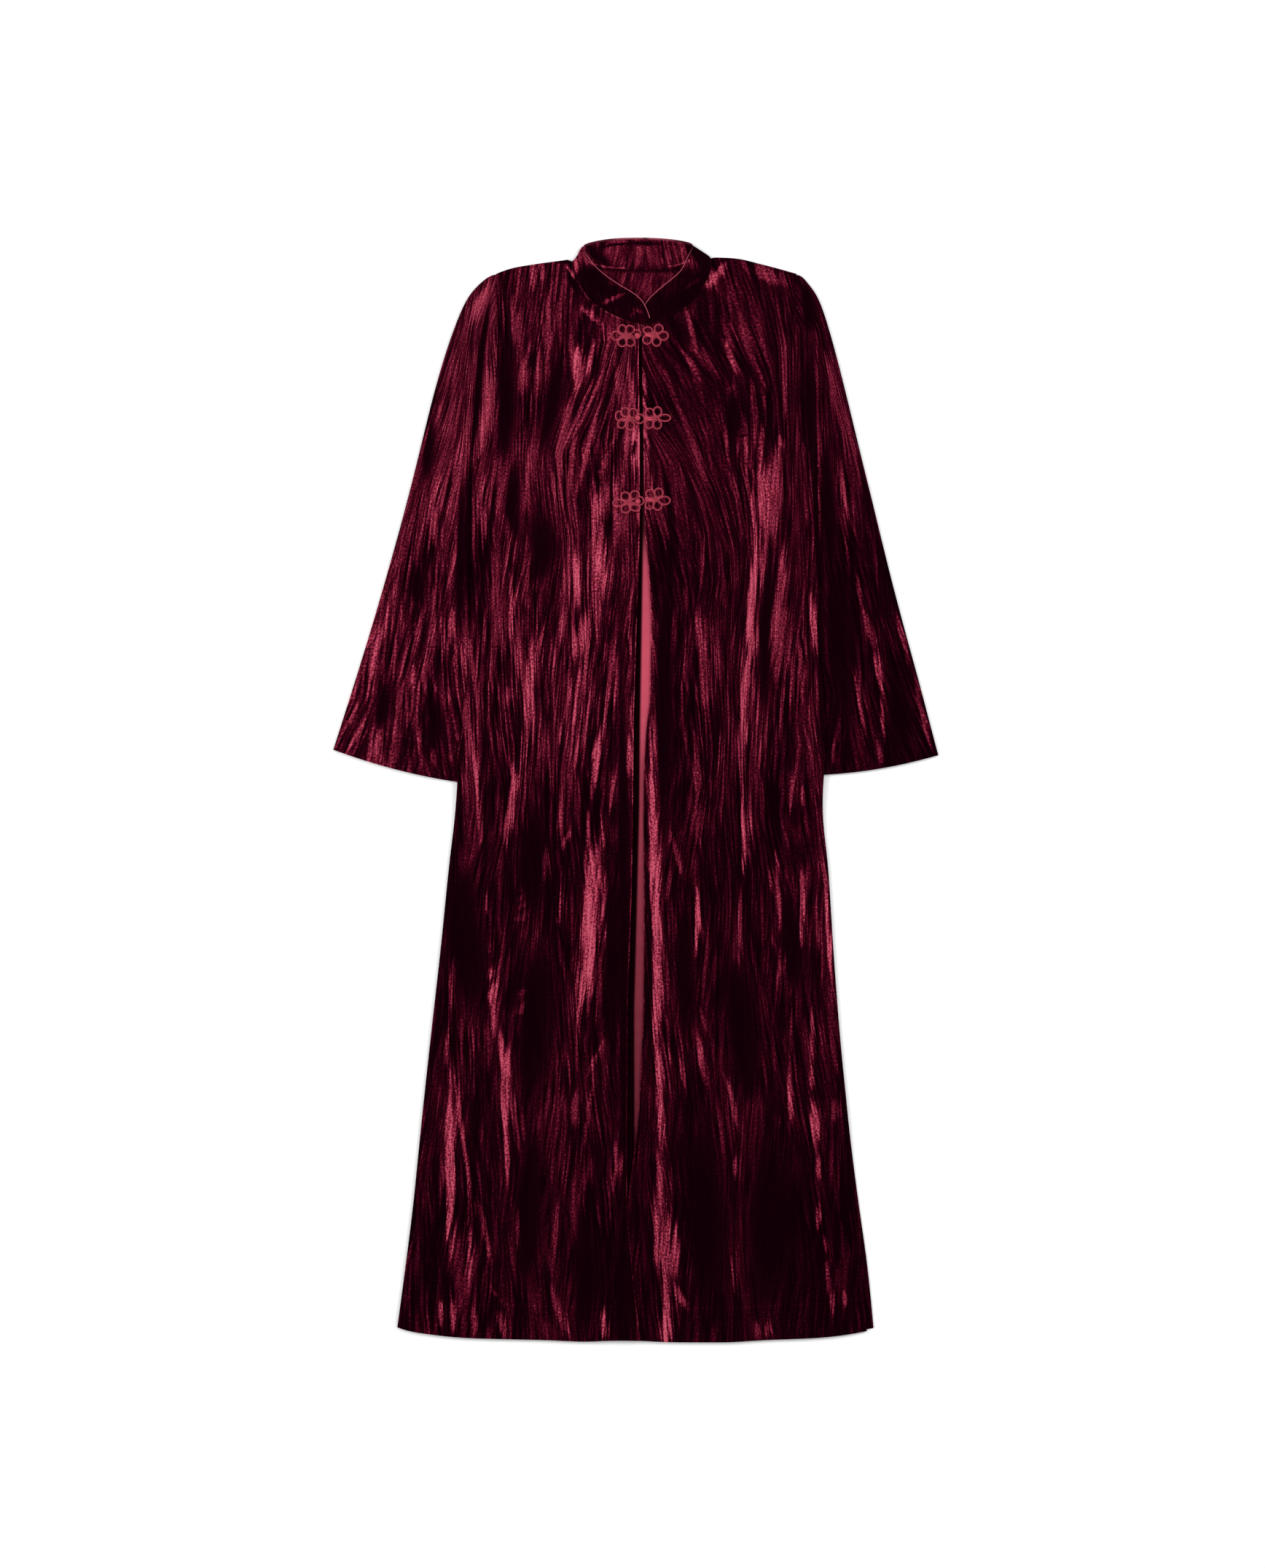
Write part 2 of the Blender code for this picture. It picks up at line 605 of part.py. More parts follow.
def make_piping(name, bands):
    """A thin satin tube along the collar's upper edge, just clear of it."""
    low, top = collar_edges(bands)
    outward = (top - low) / np.linalg.norm(top - low, axis=1, keepdims=True)
    along = np.gradient(top, axis=0)
    along /= np.linalg.norm(along, axis=1, keepdims=True)
    outward -= along * np.sum(outward * along, axis=1, keepdims=True)
    outward /= np.linalg.norm(outward, axis=1, keepdims=True)
    aside = np.cross(along, outward)
    centre = top + outward * (PIPING_RADIUS + PIPING_GAP)
    points, faces = [], []
    for s in range(len(centre)):
        for k in range(PIPING_SIDES):
            turn = 2 * np.pi * (k + 0.5) / PIPING_SIDES
            points.append(centre[s] + PIPING_RADIUS * (np.cos(turn) * outward[s] + np.sin(turn) * aside[s]))
    for s in range(len(centre) - 1):
        for k in range(PIPING_SIDES):
            a, b = s * PIPING_SIDES + k, s * PIPING_SIDES + (k + 1) % PIPING_SIDES
            faces.append((a, b, b + PIPING_SIDES, a + PIPING_SIDES))
    faces.append(tuple(range(PIPING_SIDES)))
    faces.append(tuple(range(len(points) - PIPING_SIDES, len(points))))
    return new_object(name, points, faces, "piping")


def ring_of_cord(name, loop, base):
    """An oval ring of cord lying flat, its underside at height base."""
    points, faces = [], []
    for s in range(LOOP_STEPS):
        turn = 2 * np.pi * (s + 0.5) / LOOP_STEPS
        way = np.array([np.cos(turn), np.sin(turn)])
        for k in range(CORD_SIDES):
            roll = np.pi / 2 + 2 * np.pi * k / CORD_SIDES
            reach = np.array([loop.radius_x, loop.radius_y]) + CORD_RADIUS * np.cos(roll)
            x, y = np.array([loop.x, loop.y]) + reach * way
            points.append((x, y, base + CORD_RADIUS * (0.5 + np.sin(roll))))
    for s in range(LOOP_STEPS):
        for k in range(CORD_SIDES):
            a, b = s * CORD_SIDES, (s + 1) % LOOP_STEPS * CORD_SIDES
            m = (k + 1) % CORD_SIDES
            faces.append((a + k, b + k, b + m, a + m))
    return new_object(name, points, faces, "cord")


def shank_of_cord(name, start):
    """The doubled cord along the frog's middle."""
    points = []
    for x in (start, SHANK_END):
        points += [(x, -SHANK_HALF_WIDTH, 0.1), (x, SHANK_HALF_WIDTH, 0.1), (x, SHANK_HALF_WIDTH, 1.3)]
        points += [(x, -SHANK_HALF_WIDTH, 1.3)]
    faces = [(0, 1, 2, 3), (4, 5, 6, 7)]
    faces += [(k, (k + 1) % 4, (k + 1) % 4 + 4, k + 4) for k in range(4)]
    return new_object(name, points, faces, "cord")


def union(obj, others):
    """Joins the others into obj and removes them."""
    bpy.context.view_layer.objects.active = obj
    for other in others:
        modifier = obj.modifiers.new("join", "BOOLEAN")
        modifier.operation = "UNION"
        modifier.object = other
        bpy.ops.object.modifier_apply(modifier=modifier.name)
        bpy.data.objects.remove(other)
    return obj


def surface_of(obj):
    """A function from x, y to the height of an object's upper surface, all in millimetres."""
    mesh = obj.data
    points = [vertex.co / MM for vertex in mesh.vertices]
    tree = BVHTree.FromPolygons(points, [tuple(face.vertices) for face in mesh.polygons])

    def height(x, y):
        hit = tree.ray_cast(Vector((x, y, 100)), Vector((0, 0, -1)))[0]
        return None if hit is None else hit.z

    return height


def seat(obj, frog, middle, mirror, height):
    """Turns a piece by the frog's tilt, moves it to the frog and lays it on the panel."""
    turn = np.radians(frog.tilt)
    for vertex in obj.data.vertices:
        x, y, z = vertex.co / MM
        across = mirror * x
        place_x = middle + across * np.cos(turn) - y * np.sin(turn)
        place_y = frog.y + across * np.sin(turn) + y * np.cos(turn)
        base = height(place_x, place_y)
        vertex.co = Vector((place_x, place_y, z + base + SEAM)) * MM
    if mirror < 0:
        obj.data.flip_normals()


def make_frog_half(name, with_knot_loop):
    """One half of a frog about the opening's middle, before it is seated."""
    wanted = FROG_LOOPS + ((KNOT_LOOP,) if with_knot_loop else ())
    loops = [ring_of_cord(f"{name}_loop", loop, CROSSING * k) for k, loop in enumerate(wanted)]
    return union(shank_of_cord(name, RIGHT_SHANK_START if with_knot_loop else LEFT_SHANK_START), loops)


def make_frogs(right_front, left_front):
    """Three fastened frogs: loops on the right front, knots that reach into them from the left."""
    on_right, on_left = surface_of(right_front), surface_of(left_front)
    for number, frog in enumerate(FROGS, start=1):
        middle = float(front_edge["right"](frog.y) + front_edge["left"](frog.y)) / 2
        opening = float(front_edge["left"](frog.y) - front_edge["right"](frog.y)) / 2
        edge_height = on_right(middle - opening - 3, frog.y)

        def right_height(x, y):
            return on_right(x, y) if on_right(x, y) is not None else edge_height

        def left_height(x, y):
            return on_left(x, y) if on_left(x, y) is not None else edge_height

        right = make_frog_half(f"frog_right_{number}", with_knot_loop=True)
        seat(right, frog, middle - opening, -1, right_height)
        left = make_frog_half(f"frog_left_{number}", with_knot_loop=False)
        seat(left, frog, middle + opening, 1, left_height)


def make_knot(number, frog, edge_height):
    """A ball knot, a little flattened, inside the button loop."""
    shape = bmesh.new()
    bmesh.ops.create_icosphere(shape, subdivisions=1, radius=1)
    points = [(KNOT_RADIUS * v.co.x, KNOT_RADIUS * v.co.y, KNOT_HEIGHT / 2 * (1 + v.co.z)) for v in shape.verts]
    faces = [tuple(v.index for v in face.verts) for face in shape.faces]
    shape.free()
    x = float(front_edge["right"](frog.y)) - KNOT_LOOP.x
    moved = [(x + p[0], frog.y + p[1], edge_height + SEAM + p[2]) for p in points]
    return new_object(f"knot_{number}", moved, faces, "cord")


make_back()
make_lining()
right_front = make_front_right()
left_front = make_front_left()
make_sleeve("sleeve_right", RIGHT_SLEEVE, RIGHT_SLEEVE_FOLDS, side["right"], 1)
make_sleeve("sleeve_left", LEFT_SLEEVE, LEFT_SLEEVE_FOLDS, side["left"], -1)
make_collar("collar_right", RIGHT_COLLAR)
make_collar("collar_left", LEFT_COLLAR)
make_piping("piping_right", RIGHT_COLLAR)
make_piping("piping_left", LEFT_COLLAR)
make_frogs(right_front, left_front)
on_right = surface_of(right_front)
for number, frog in enumerate(FROGS, start=1):
    make_knot(number, frog, on_right(float(front_edge["right"](frog.y)) - 3, frog.y))
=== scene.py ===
from collections import namedtuple
from math import atan2, cos, pi, radians, sin

import bpy
import numpy as np
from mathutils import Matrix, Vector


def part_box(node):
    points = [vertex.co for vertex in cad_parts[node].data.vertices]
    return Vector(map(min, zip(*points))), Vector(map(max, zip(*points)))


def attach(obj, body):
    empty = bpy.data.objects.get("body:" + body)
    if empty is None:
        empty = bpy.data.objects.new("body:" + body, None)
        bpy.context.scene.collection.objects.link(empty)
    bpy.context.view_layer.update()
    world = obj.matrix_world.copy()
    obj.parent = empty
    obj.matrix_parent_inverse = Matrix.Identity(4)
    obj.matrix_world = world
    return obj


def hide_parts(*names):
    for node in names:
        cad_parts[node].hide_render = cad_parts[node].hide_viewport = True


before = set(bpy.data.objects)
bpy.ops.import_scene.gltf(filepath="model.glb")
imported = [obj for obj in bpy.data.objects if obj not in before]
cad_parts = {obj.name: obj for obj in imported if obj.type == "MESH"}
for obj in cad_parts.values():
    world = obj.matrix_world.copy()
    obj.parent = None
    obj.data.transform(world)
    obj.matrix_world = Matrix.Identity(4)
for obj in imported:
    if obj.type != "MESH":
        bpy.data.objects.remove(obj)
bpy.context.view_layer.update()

# ---- Studio ----
# The coat lies on a plain white floor under an even white room light, with a soft box
# beside each sleeve. The camera looks straight down, as in the photograph.
PIXEL = 0.00095  # metres of the coat that one pixel of the photograph covers
CENTRE_X, CENTRE_Y = 872.5, 1083.5  # the frame's origin in the photograph, in pixels
PHOTO_WIDTH, PHOTO_HEIGHT = 1736, 2151
LENS, SENSOR = 100, 36
FLOOR_WHITE = (0.97, 0.97, 0.965, 1)
FLOOR_SIZE, FLOOR_DROP = 12, 0.0003  # metres across, and below the coat
ROOM_LIGHT = 0.72


def add(tree, kind, inputs=None, **settings):
    """A new node, its settings made and each named input set to a value or linked to an output."""
    made = tree.nodes.new(kind)
    for name, value in settings.items():
        setattr(made, name, value)
    for name, value in (inputs or {}).items():
        if isinstance(value, bpy.types.NodeSocket):
            tree.links.new(value, made.inputs[name])
        else:
            made.inputs[name].default_value = value
    return made


def new_material(name):
    """A material and its node tree, still empty."""
    material = bpy.data.materials.new(name)
    material.use_nodes = True
    material.node_tree.nodes.clear()
    return material, material.node_tree


def surfaced(material, inputs):
    """Gives a material its surface, whose named inputs are values or other nodes' outputs."""
    tree = material.node_tree
    surface = add(tree, "ShaderNodeBsdfPrincipled", inputs)
    add(tree, "ShaderNodeOutputMaterial", {"Surface": surface.outputs["BSDF"]})
    return material


bpy.ops.object.select_all(action="DESELECT")
bpy.ops.mesh.primitive_plane_add(size=FLOOR_SIZE, location=(0, 0, -FLOOR_DROP))
floor = bpy.context.object
floor.name = "floor"
white, tree = new_material("floor white")
mottle = add(tree, "ShaderNodeTexNoise", {"Scale": 3.0, "Detail": 2.0})
tone = add(tree, "ShaderNodeMapRange", {"Value": mottle.outputs["Fac"], "To Min": 0.6, "To Max": 0.7})
floor.data.materials.append(surfaced(white, {"Base Color": FLOOR_WHITE, "Roughness": tone.outputs["Result"]}))

room = bpy.data.worlds.new("white room")
room.use_nodes = True
background = room.node_tree.nodes["Background"]
background.inputs["Color"].default_value = (1, 1, 1, 1)
background.inputs["Strength"].default_value = ROOM_LIGHT
bpy.context.scene.world = room

SoftBox = namedtuple("SoftBox", "place turn size power")
SOFT_BOXES = (
    SoftBox((-2.6, 0.8, 2.4), (0, -50, 0), 2.0, 60),
    SoftBox((2.6, 1.2, 2.4), (0, 50, 0), 2.0, 60),
)
for box in SOFT_BOXES:
    bpy.ops.object.light_add(type="AREA", location=box.place, rotation=[radians(a) for a in box.turn])
    lamp = bpy.context.object.data
    lamp.shape = "DISK"
    lamp.size = box.size
    lamp.energy = box.power

across, up = PHOTO_WIDTH / 2 - CENTRE_X, CENTRE_Y - PHOTO_HEIGHT / 2
height = PHOTO_HEIGHT * PIXEL * LENS / SENSOR
bpy.ops.object.camera_add(location=(across * PIXEL, up * PIXEL, height))
camera = bpy.context.object
camera.data.lens = LENS
camera.data.sensor_width = SENSOR
camera.data.sensor_fit = "AUTO"
bpy.context.scene.camera = camera
bpy.context.scene.view_settings.view_transform = "Standard"

# ---- Back ----
# One velvet panel from armhole to armhole, cut flared, that the whole coat lies on. The
# pile was crushed in long streaks down the cloth; where they lean to the light their sheen
# is painted rose, and where they lean away their shade is painted near-black. Its hem is
# turned up and slip-stitched.
Streak = namedtuple("Streak", "shine width rise path")  # 0 to 1, pixels, millimetres, pixels


def pressed(*rows):
    """Streaks in flat pile, painted sheen or at the darkest painted shade, from rows of a shine in
    hundredths, a width, and the path's x and y by turns.
    """
    return [Streak(shine / 100, width, 0, path) for shine, width, *path in rows]


BACK_STREAKS = pressed(
    (75, 16, 760, 420, 752, 620, 744, 830), (90, 12, 835, 560, 846, 760, 852, 930),
    (60, 20, 930, 430, 922, 590, 918, 700), (85, 14, 985, 640, 998, 860, 1004, 1050),
    (70, 10, 1060, 520, 1071, 700, 1076, 860), (90, 18, 900, 1010, 893, 1180, 881, 1380),
    (80, 12, 700, 980, 690, 1160, 676, 1330), (90, 16, 1080, 1100, 1092, 1290, 1108, 1520),
    (75, 10, 790, 1240, 784, 1450, 770, 1620), (85, 20, 970, 1420, 978, 1600, 990, 1790),
    (70, 12, 640, 1450, 626, 1640, 612, 1800), (60, 14, 860, 1560, 862, 1700, 858, 1830),
    (0, 34, 810, 700, 806, 900, 795, 1100), (0, 40, 1020, 1300, 1036, 1500, 1048, 1700),
)
BACK_RUN = (  # lines that the pile runs along, in pixels: x and y by turns
    (690, 340, 640, 700, 625, 1100, 545, 1850),
    (1055, 340, 1110, 700, 1135, 1100, 1200, 1850),
)
BACK_GROUND = (  # pixels down, how light the pile is there, and how uneven
    (300, 0.36, 1.0), (1000, 0.32, 0.9), (1300, 0.18, 0.7), (1850, 0.16, 0.7)
)
VELVET_LEVELS = 3
CREASE_SHARPNESS, SMOOTH_BELOW = radians(50), radians(40)
MERGED = 0.00001  # metres, under which two vertices are one
FLAT_ENOUGH = radians(6)  # slivers that lie this nearly in one plane are redivided
DARKEST = 0.2  # a streak no lighter than this is painted shade: a valley where the pile lies away, below 0 the deeper painted shade of a sharp fold
BLUR = 2  # pixels added to each bright streak, whose sides the pile's own noise then eats into
RIDGE = 0.35  # how far left of its middle a streak is fullest, in half widths
CRISP_SIDE, SOFT_SIDE = 0.45, 1.15  # over how much it falls away to its left and its right
FALL = 0.7  # how fast a streak's sides fall: more is steeper
PLUMP = 0.8  # how a streak fills between its ends: less is plumper
END_WIDTH = 0.45  # how wide a streak is at its very ends, as a share
DULLER = 0.2  # how much duller a streak is at its sides and ends
DRAWN_OUT = 0.2  # how far a streak's ends run on, as a share of its end spans
SLIMMEST = 0.28  # the widest that a short streak may be, as a share of its length
HEM_DEPTH, HEM_PARTS = 0.0447, 60  # metres, and the parts of a lower edge that are measured apart
STITCH_WIDTH, EDGE_HIGHLIGHT_AT, EDGE_HIGHLIGHT_WIDTH = 0.0011, 0.0004, 0.0013  # metres, and how far in a turned edge's painted highlight shows
FAR = 1.0  # metres, for a piece that has no such line


def select_only(piece):
    """Selects one piece alone and makes it the active one."""
    bpy.ops.object.select_all(action="DESELECT")
    piece.select_set(True)
    bpy.context.view_layer.objects.active = piece


def cloth_shell(node, name, levels, sharpness=CREASE_SHARPNESS):
    """A fine, smooth copy of a CAD cloth node whose cut edges stay crisp."""
    shell = bpy.data.objects.new(name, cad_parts[node].data.copy())
    shell.data.materials.clear()
    bpy.context.scene.collection.objects.link(shell)
    select_only(shell)
    bpy.ops.object.mode_set(mode="EDIT")
    bpy.ops.mesh.select_mode(type="EDGE")
    bpy.ops.mesh.select_all(action="SELECT")
    bpy.ops.mesh.remove_doubles(threshold=MERGED)
    bpy.ops.mesh.beautify_fill(angle_limit=FLAT_ENOUGH)
    bpy.ops.mesh.tris_convert_to_quads()
    bpy.ops.mesh.select_all(action="DESELECT")
    bpy.ops.mesh.edges_select_sharp(sharpness=sharpness)
    bpy.ops.transform.edge_crease(value=1)
    bpy.ops.object.mode_set(mode="OBJECT")
    smoothing = shell.modifiers.new("fine", "SUBSURF")
    smoothing.levels = smoothing.render_levels = levels
    bpy.ops.object.modifier_apply(modifier=smoothing.name)
    bpy.ops.object.shade_smooth_by_angle(angle=SMOOTH_BELOW)
    return shell


def points_of(piece):
    """A piece's vertices, one row each, in metres."""
    flat = np.empty(len(piece.data.vertices) * 3)
    piece.data.vertices.foreach_get("co", flat)
    return flat.reshape(-1, 3)


def in_photo(points):
    """Where points show in the photograph, in pixels."""
    return np.column_stack((points[:, 0] / PIXEL + CENTRE_X, CENTRE_Y - points[:, 1] / PIXEL))


def record_on(piece, **records):
    """Keeps a number or a vector for each vertex, or one number for all, for the material to read."""
    for name, values in records.items():
        values = np.asarray(values, np.float32)
        kind, field = ("FLOAT_VECTOR", "vector") if values.ndim > 1 else ("FLOAT", "value")
        layer = piece.data.attributes.new(name, kind, "POINT")
        layer.data.foreach_set(field, values.ravel() if values.ndim else np.full(len(layer.data), values))


def along(spots, path):
    """How far each spot is to the right of a path, how full a streak along it is there, and its length."""
    path = np.array(path, float).reshape(-1, 2)
    path[0] += (path[0] - path[1]) * DRAWN_OUT
    path[-1] += (path[-1] - path[-2]) * DRAWN_OUT
    steps = np.diff(path, axis=0)
    lengths = np.hypot(*steps.T)
    runs = np.concatenate(([0], np.cumsum(lengths)))
    nearest, share, side = np.full(len(spots), np.inf), np.zeros(len(spots)), np.ones(len(spots))
    for start, step, length, run in zip(path, steps, lengths, runs):
        off = spots - start
        t = np.clip(off @ step / length**2, 0, 1)
        gap = np.hypot(*(off - t[:, None] * step).T)
        closer = gap < nearest
        share = np.where(closer, (run + t * length) / runs[-1], share)
        side = np.where(closer, np.where(off[:, 0] * step[1] < off[:, 1] * step[0], -1, 1), side)
        nearest = np.minimum(gap, nearest)
    return nearest * side, np.sin(np.pi * np.clip(share, 0, 1)) ** PLUMP, runs[-1]


def brushed(spots, streak, extra=0):
    """1 near a streak's left side, which is the crisp one, falling to 0 at its right and at its ends."""
    beside, fullness, length = along(spots, streak.path)
    half = min(streak.width + extra, length * SLIMMEST) / 2 * (END_WIDTH + (1 - END_WIDTH) * fullness)
    beside = beside / half + RIDGE
    return fullness * np.exp(-FALL * (beside / np.where(beside < 0, CRISP_SIDE, SOFT_SIDE)) ** 2)


def line_at(line, y):
    """How far across a line in the photograph is, at places down it."""
    return np.interp(y, line[1::2], line[::2])


def across_run(spots, guides):
    """How far across the pile's run each spot is, in pixels, where the pile runs down between guides."""
    lines = [line_at(guide, spots[:, 1]) for guide in guides]
    across = np.zeros(len(spots))
    for k, (left, right) in enumerate(zip(lines, lines[1:])):
        low, high = (0 if k else -np.inf), (1 if k < len(lines) - 2 else np.inf)
        across += np.clip((spots[:, 0] - left) / (right - left), low, high) * (right - left).mean()
    return across


def pile_on(piece, streaks, ground, run, hem=FAR, edge=FAR, grain=(1, 1)):
    """Presses the streaks' painted sheen and shade into a velvet piece: its pile's lightness, its unevenness
    and its run.
    """
    spots = in_photo(points_of(piece))
    heights, naps, crushes = zip(*ground)
    body, shine, shade = np.zeros((3, len(spots)))
    for streak in streaks:
        if streak.shine <= DARKEST:
            shade = np.maximum(shade, (1 - streak.shine) * brushed(spots, streak))
        else:
            full = brushed(spots, streak, extra=BLUR)
            body = np.maximum(body, full)
            shine = np.maximum(shine, streak.shine * full * (1 - DULLER + DULLER * full**2))
    across = across_run(spots, run)
    lie = np.column_stack((across * grain[0], -spots[:, 1] * grain[1], 0 * across)) * PIXEL
    record_on(piece, body=body, shine=shine, shade=shade, grain=lie, hem=hem, edge=edge)
    record_on(piece, nap=np.interp(spots[:, 1], heights, naps))
    record_on(piece, crush=np.interp(spots[:, 1], heights, crushes))


def above_lowest(measure, along_it, parts):
    """How far each measure is above the lowest one in its part of the piece's length."""
    marks = np.linspace(along_it.min(), along_it.max(), parts)
    part = np.clip(np.digitize(along_it, marks) - 1, 0, parts - 2)
    lowest = [measure[part == k].min() for k in range(parts - 1)]
    return measure - np.interp(along_it, (marks[1:] + marks[:-1]) / 2, lowest)


def distance_up(piece):
    """How far each vertex is above the piece's lower edge."""
    across, up, _ = points_of(piece).T
    return above_lowest(up, across, HEM_PARTS)


def maths(tree, operation, *values, clamp=False):
    """What a maths node makes of numbers and outputs."""
    made = add(tree, "ShaderNodeMath", dict(enumerate(values)), operation=operation, use_clamp=clamp)
    return made.outputs[0]


def noise(tree, place, per_metre, detail, wander=0.0):
    """Noise at a place, with so many marks to the metre each way."""
    scaled = add(tree, "ShaderNodeVectorMath", {0: place, 1: per_metre}, operation="MULTIPLY")
    inputs = {"Vector": scaled.outputs[0], "Scale": 1.0, "Detail": detail, "Distortion": wander}
    return add(tree, "ShaderNodeTexNoise", inputs).outputs["Fac"]


def edged(tree, field, low, high):
    """A mask that rises from 0 to 1 as a field does from low to high."""
    inputs = {"Value": field, "From Min": low, "From Max": high}
    return add(tree, "ShaderNodeMapRange", inputs, interpolation_type="SMOOTHSTEP").outputs["Result"]


def recorded(tree, name, output="Fac"):
    """What a piece's vertices have recorded under a name."""
    return add(tree, "ShaderNodeAttribute", attribute_name=name).outputs[output]


def relief(tree, height, strength, depth):
    """The normals of a relief in a surface."""
    inputs = {"Strength": strength, "Distance": depth, "Height": height}
    return add(tree, "ShaderNodeBump", inputs).outputs["Normal"]


def new_group(name, inputs, outputs):
    """A shader group with these sockets, and the sockets inside it for what is given and what results."""
    group = bpy.data.node_groups.new(name, "ShaderNodeTree")
    for side, sockets in (("INPUT", inputs), ("OUTPUT", outputs)):
        for socket, kind in sockets.items():
            group.interface.new_socket(socket, in_out=side, socket_type="NodeSocket" + kind)
    return group, add(group, "NodeGroupInput").outputs, add(group, "NodeGroupOutput").inputs


def pile_group():
    """Crushed pile: its streaks' painted sheen and shade, threads and speckle about a given lightness, along
    a given run.
    """
    numbers = dict.fromkeys(("Nap", "Body", "Shine", "Shade", "Crush", "EdgeHighlight"), "Float")
    results = {"Color": "Color", "Roughness": "Float", "Height": "Float"}
    group, given, result = new_group("crushed pile", {**numbers, "Grain": "Vector"}, results)

    def times_plus(*values):
        return maths(group, "MULTIPLY_ADD", *values)

    def off_middle(value, share, onto=0.0):
        return times_plus(maths(group, "SUBTRACT", value, 0.5), share, onto)

    def aside(place, value, share):
        inputs = {0: add(group, "ShaderNodeCombineXYZ", {"X": value}).outputs[0], 1: (share, 0, 0), 2: place}
        return add(group, "ShaderNodeVectorMath", inputs, operation="MULTIPLY_ADD").outputs[0]

    # The run wanders a little, and the threads lean to one side or the other in patches.
    grain = given["Grain"]
    down = add(group, "ShaderNodeSeparateXYZ", {0: grain}).outputs["Y"]
    run = aside(grain, off_middle(noise(group, grain, (9, 3, 1), 1), 1.0), 0.018)
    ways = aside(run, down, 0.09), aside(run, down, -0.07)
    swapped = edged(group, noise(group, grain, (16, 7, 1), 1), 0.42, 0.58)

    def leaning(per_metre, detail):
        first, second = (noise(group, way, per_metre, detail, 0.4) for way in ways)
        return times_plus(maths(group, "SUBTRACT", second, first), swapped, first)

    # Unevenness, and some bright threads.
    patches = noise(group, run, (22, 4, 1), 2, 0.5)
    streaks = noise(group, run, (95, 6, 1), 3, 0.6)
    threads = leaning((230, 10, 1), 2)
    hairs = leaning((430, 18, 1), 2)
    speckle = noise(group, grain, (520, 360, 1), 2)
    uneven = off_middle(streaks, 1.1, off_middle(threads, 1.2, off_middle(hairs, 1.5)))
    level = times_plus(off_middle(patches, 0.9, uneven), given["Crush"], given["Nap"])
    bright_threads = maths(group, "MULTIPLY", edged(group, threads, 0.52, 0.72), given["Crush"])
    level = times_plus(bright_threads, 0.4, level)
    # Painted shade in the valleys and then painted highlights on the crests, with torn sides; a crest only
    # ever lightens the pile.
    torn = off_middle(streaks, 0.9, off_middle(threads, 1.5, off_middle(hairs, 0.7)))
    valley = edged(group, maths(group, "ADD", given["Shade"], torn), 0.05, 0.95)
    level = maths(group, "MULTIPLY", level, times_plus(valley, -0.9, 1.0))
    crest = edged(group, times_plus(torn, 0.9, given["Body"]), 0.15, 0.8)
    peak = maths(group, "DIVIDE", given["Shine"], maths(group, "MAXIMUM", given["Body"], 0.05))
    broken = off_middle(streaks, 0.5, off_middle(threads, 1.1, off_middle(hairs, 0.9, 0.94)))
    above = maths(group, "SUBTRACT", maths(group, "MULTIPLY", peak, broken), level)
    level = times_plus(maths(group, "MAXIMUM", above, 0.0), crest, level)
    # Painted highlights along turned edges and seams, and the speckle of single tufts.
    level = times_plus(given["EdgeHighlight"], off_middle(hairs, 0.8, 0.4), level)
    fine = off_middle(speckle, 2.3, off_middle(hairs, 0.9))
    lightness = maths(group, "ADD", level, maths(group, "MULTIPLY", fine, times_plus(level, 0.75, 0.12)))
    # The ramp runs from the pile in painted shade to the rose of its painted sheen.
    stops = (
        (0.0, (0.0042, 0.0001, 0.0014)),
        (0.2, (0.0095, 0.0003, 0.0026)),
        (0.4, (0.032, 0.0012, 0.0056)),
        (0.55, (0.074, 0.0038, 0.013)),
        (0.75, (0.17, 0.0135, 0.031)),
        (1.0, (0.38, 0.044, 0.084)),
        (1.2, (0.485, 0.08, 0.125)),
    )
    lightest = stops[-1][0]
    ramp = add(group, "ShaderNodeValToRGB", {"Fac": maths(group, "DIVIDE", lightness, lightest, clamp=True)})
    while len(ramp.color_ramp.elements) < len(stops):
        ramp.color_ramp.elements.new(0.5)
    for element, (place, colour) in zip(ramp.color_ramp.elements, stops):
        element.position = place / lightest
        element.color = (*colour, 1)
    for name, value in (
        ("Color", ramp.outputs["Color"]),
        ("Roughness", times_plus(lightness, -0.2, 0.85)),
        ("Height", maths(group, "ADD", streaks, threads)),
    ):
        group.links.new(value, result[name])
    return group


def line_group():
    """A thin line at a given distance from an edge, as a mask."""
    numbers = dict.fromkeys(("Distance", "At", "Width"), "Float")
    group, given, result = new_group("sewn line", numbers, {"Mask": "Float"})
    away = maths(group, "ABSOLUTE", maths(group, "SUBTRACT", given["Distance"], given["At"]))
    away = maths(group, "DIVIDE", away, given["Width"])
    group.links.new(maths(group, "SUBTRACT", 1.0, away, clamp=True), result["Mask"])
    return group


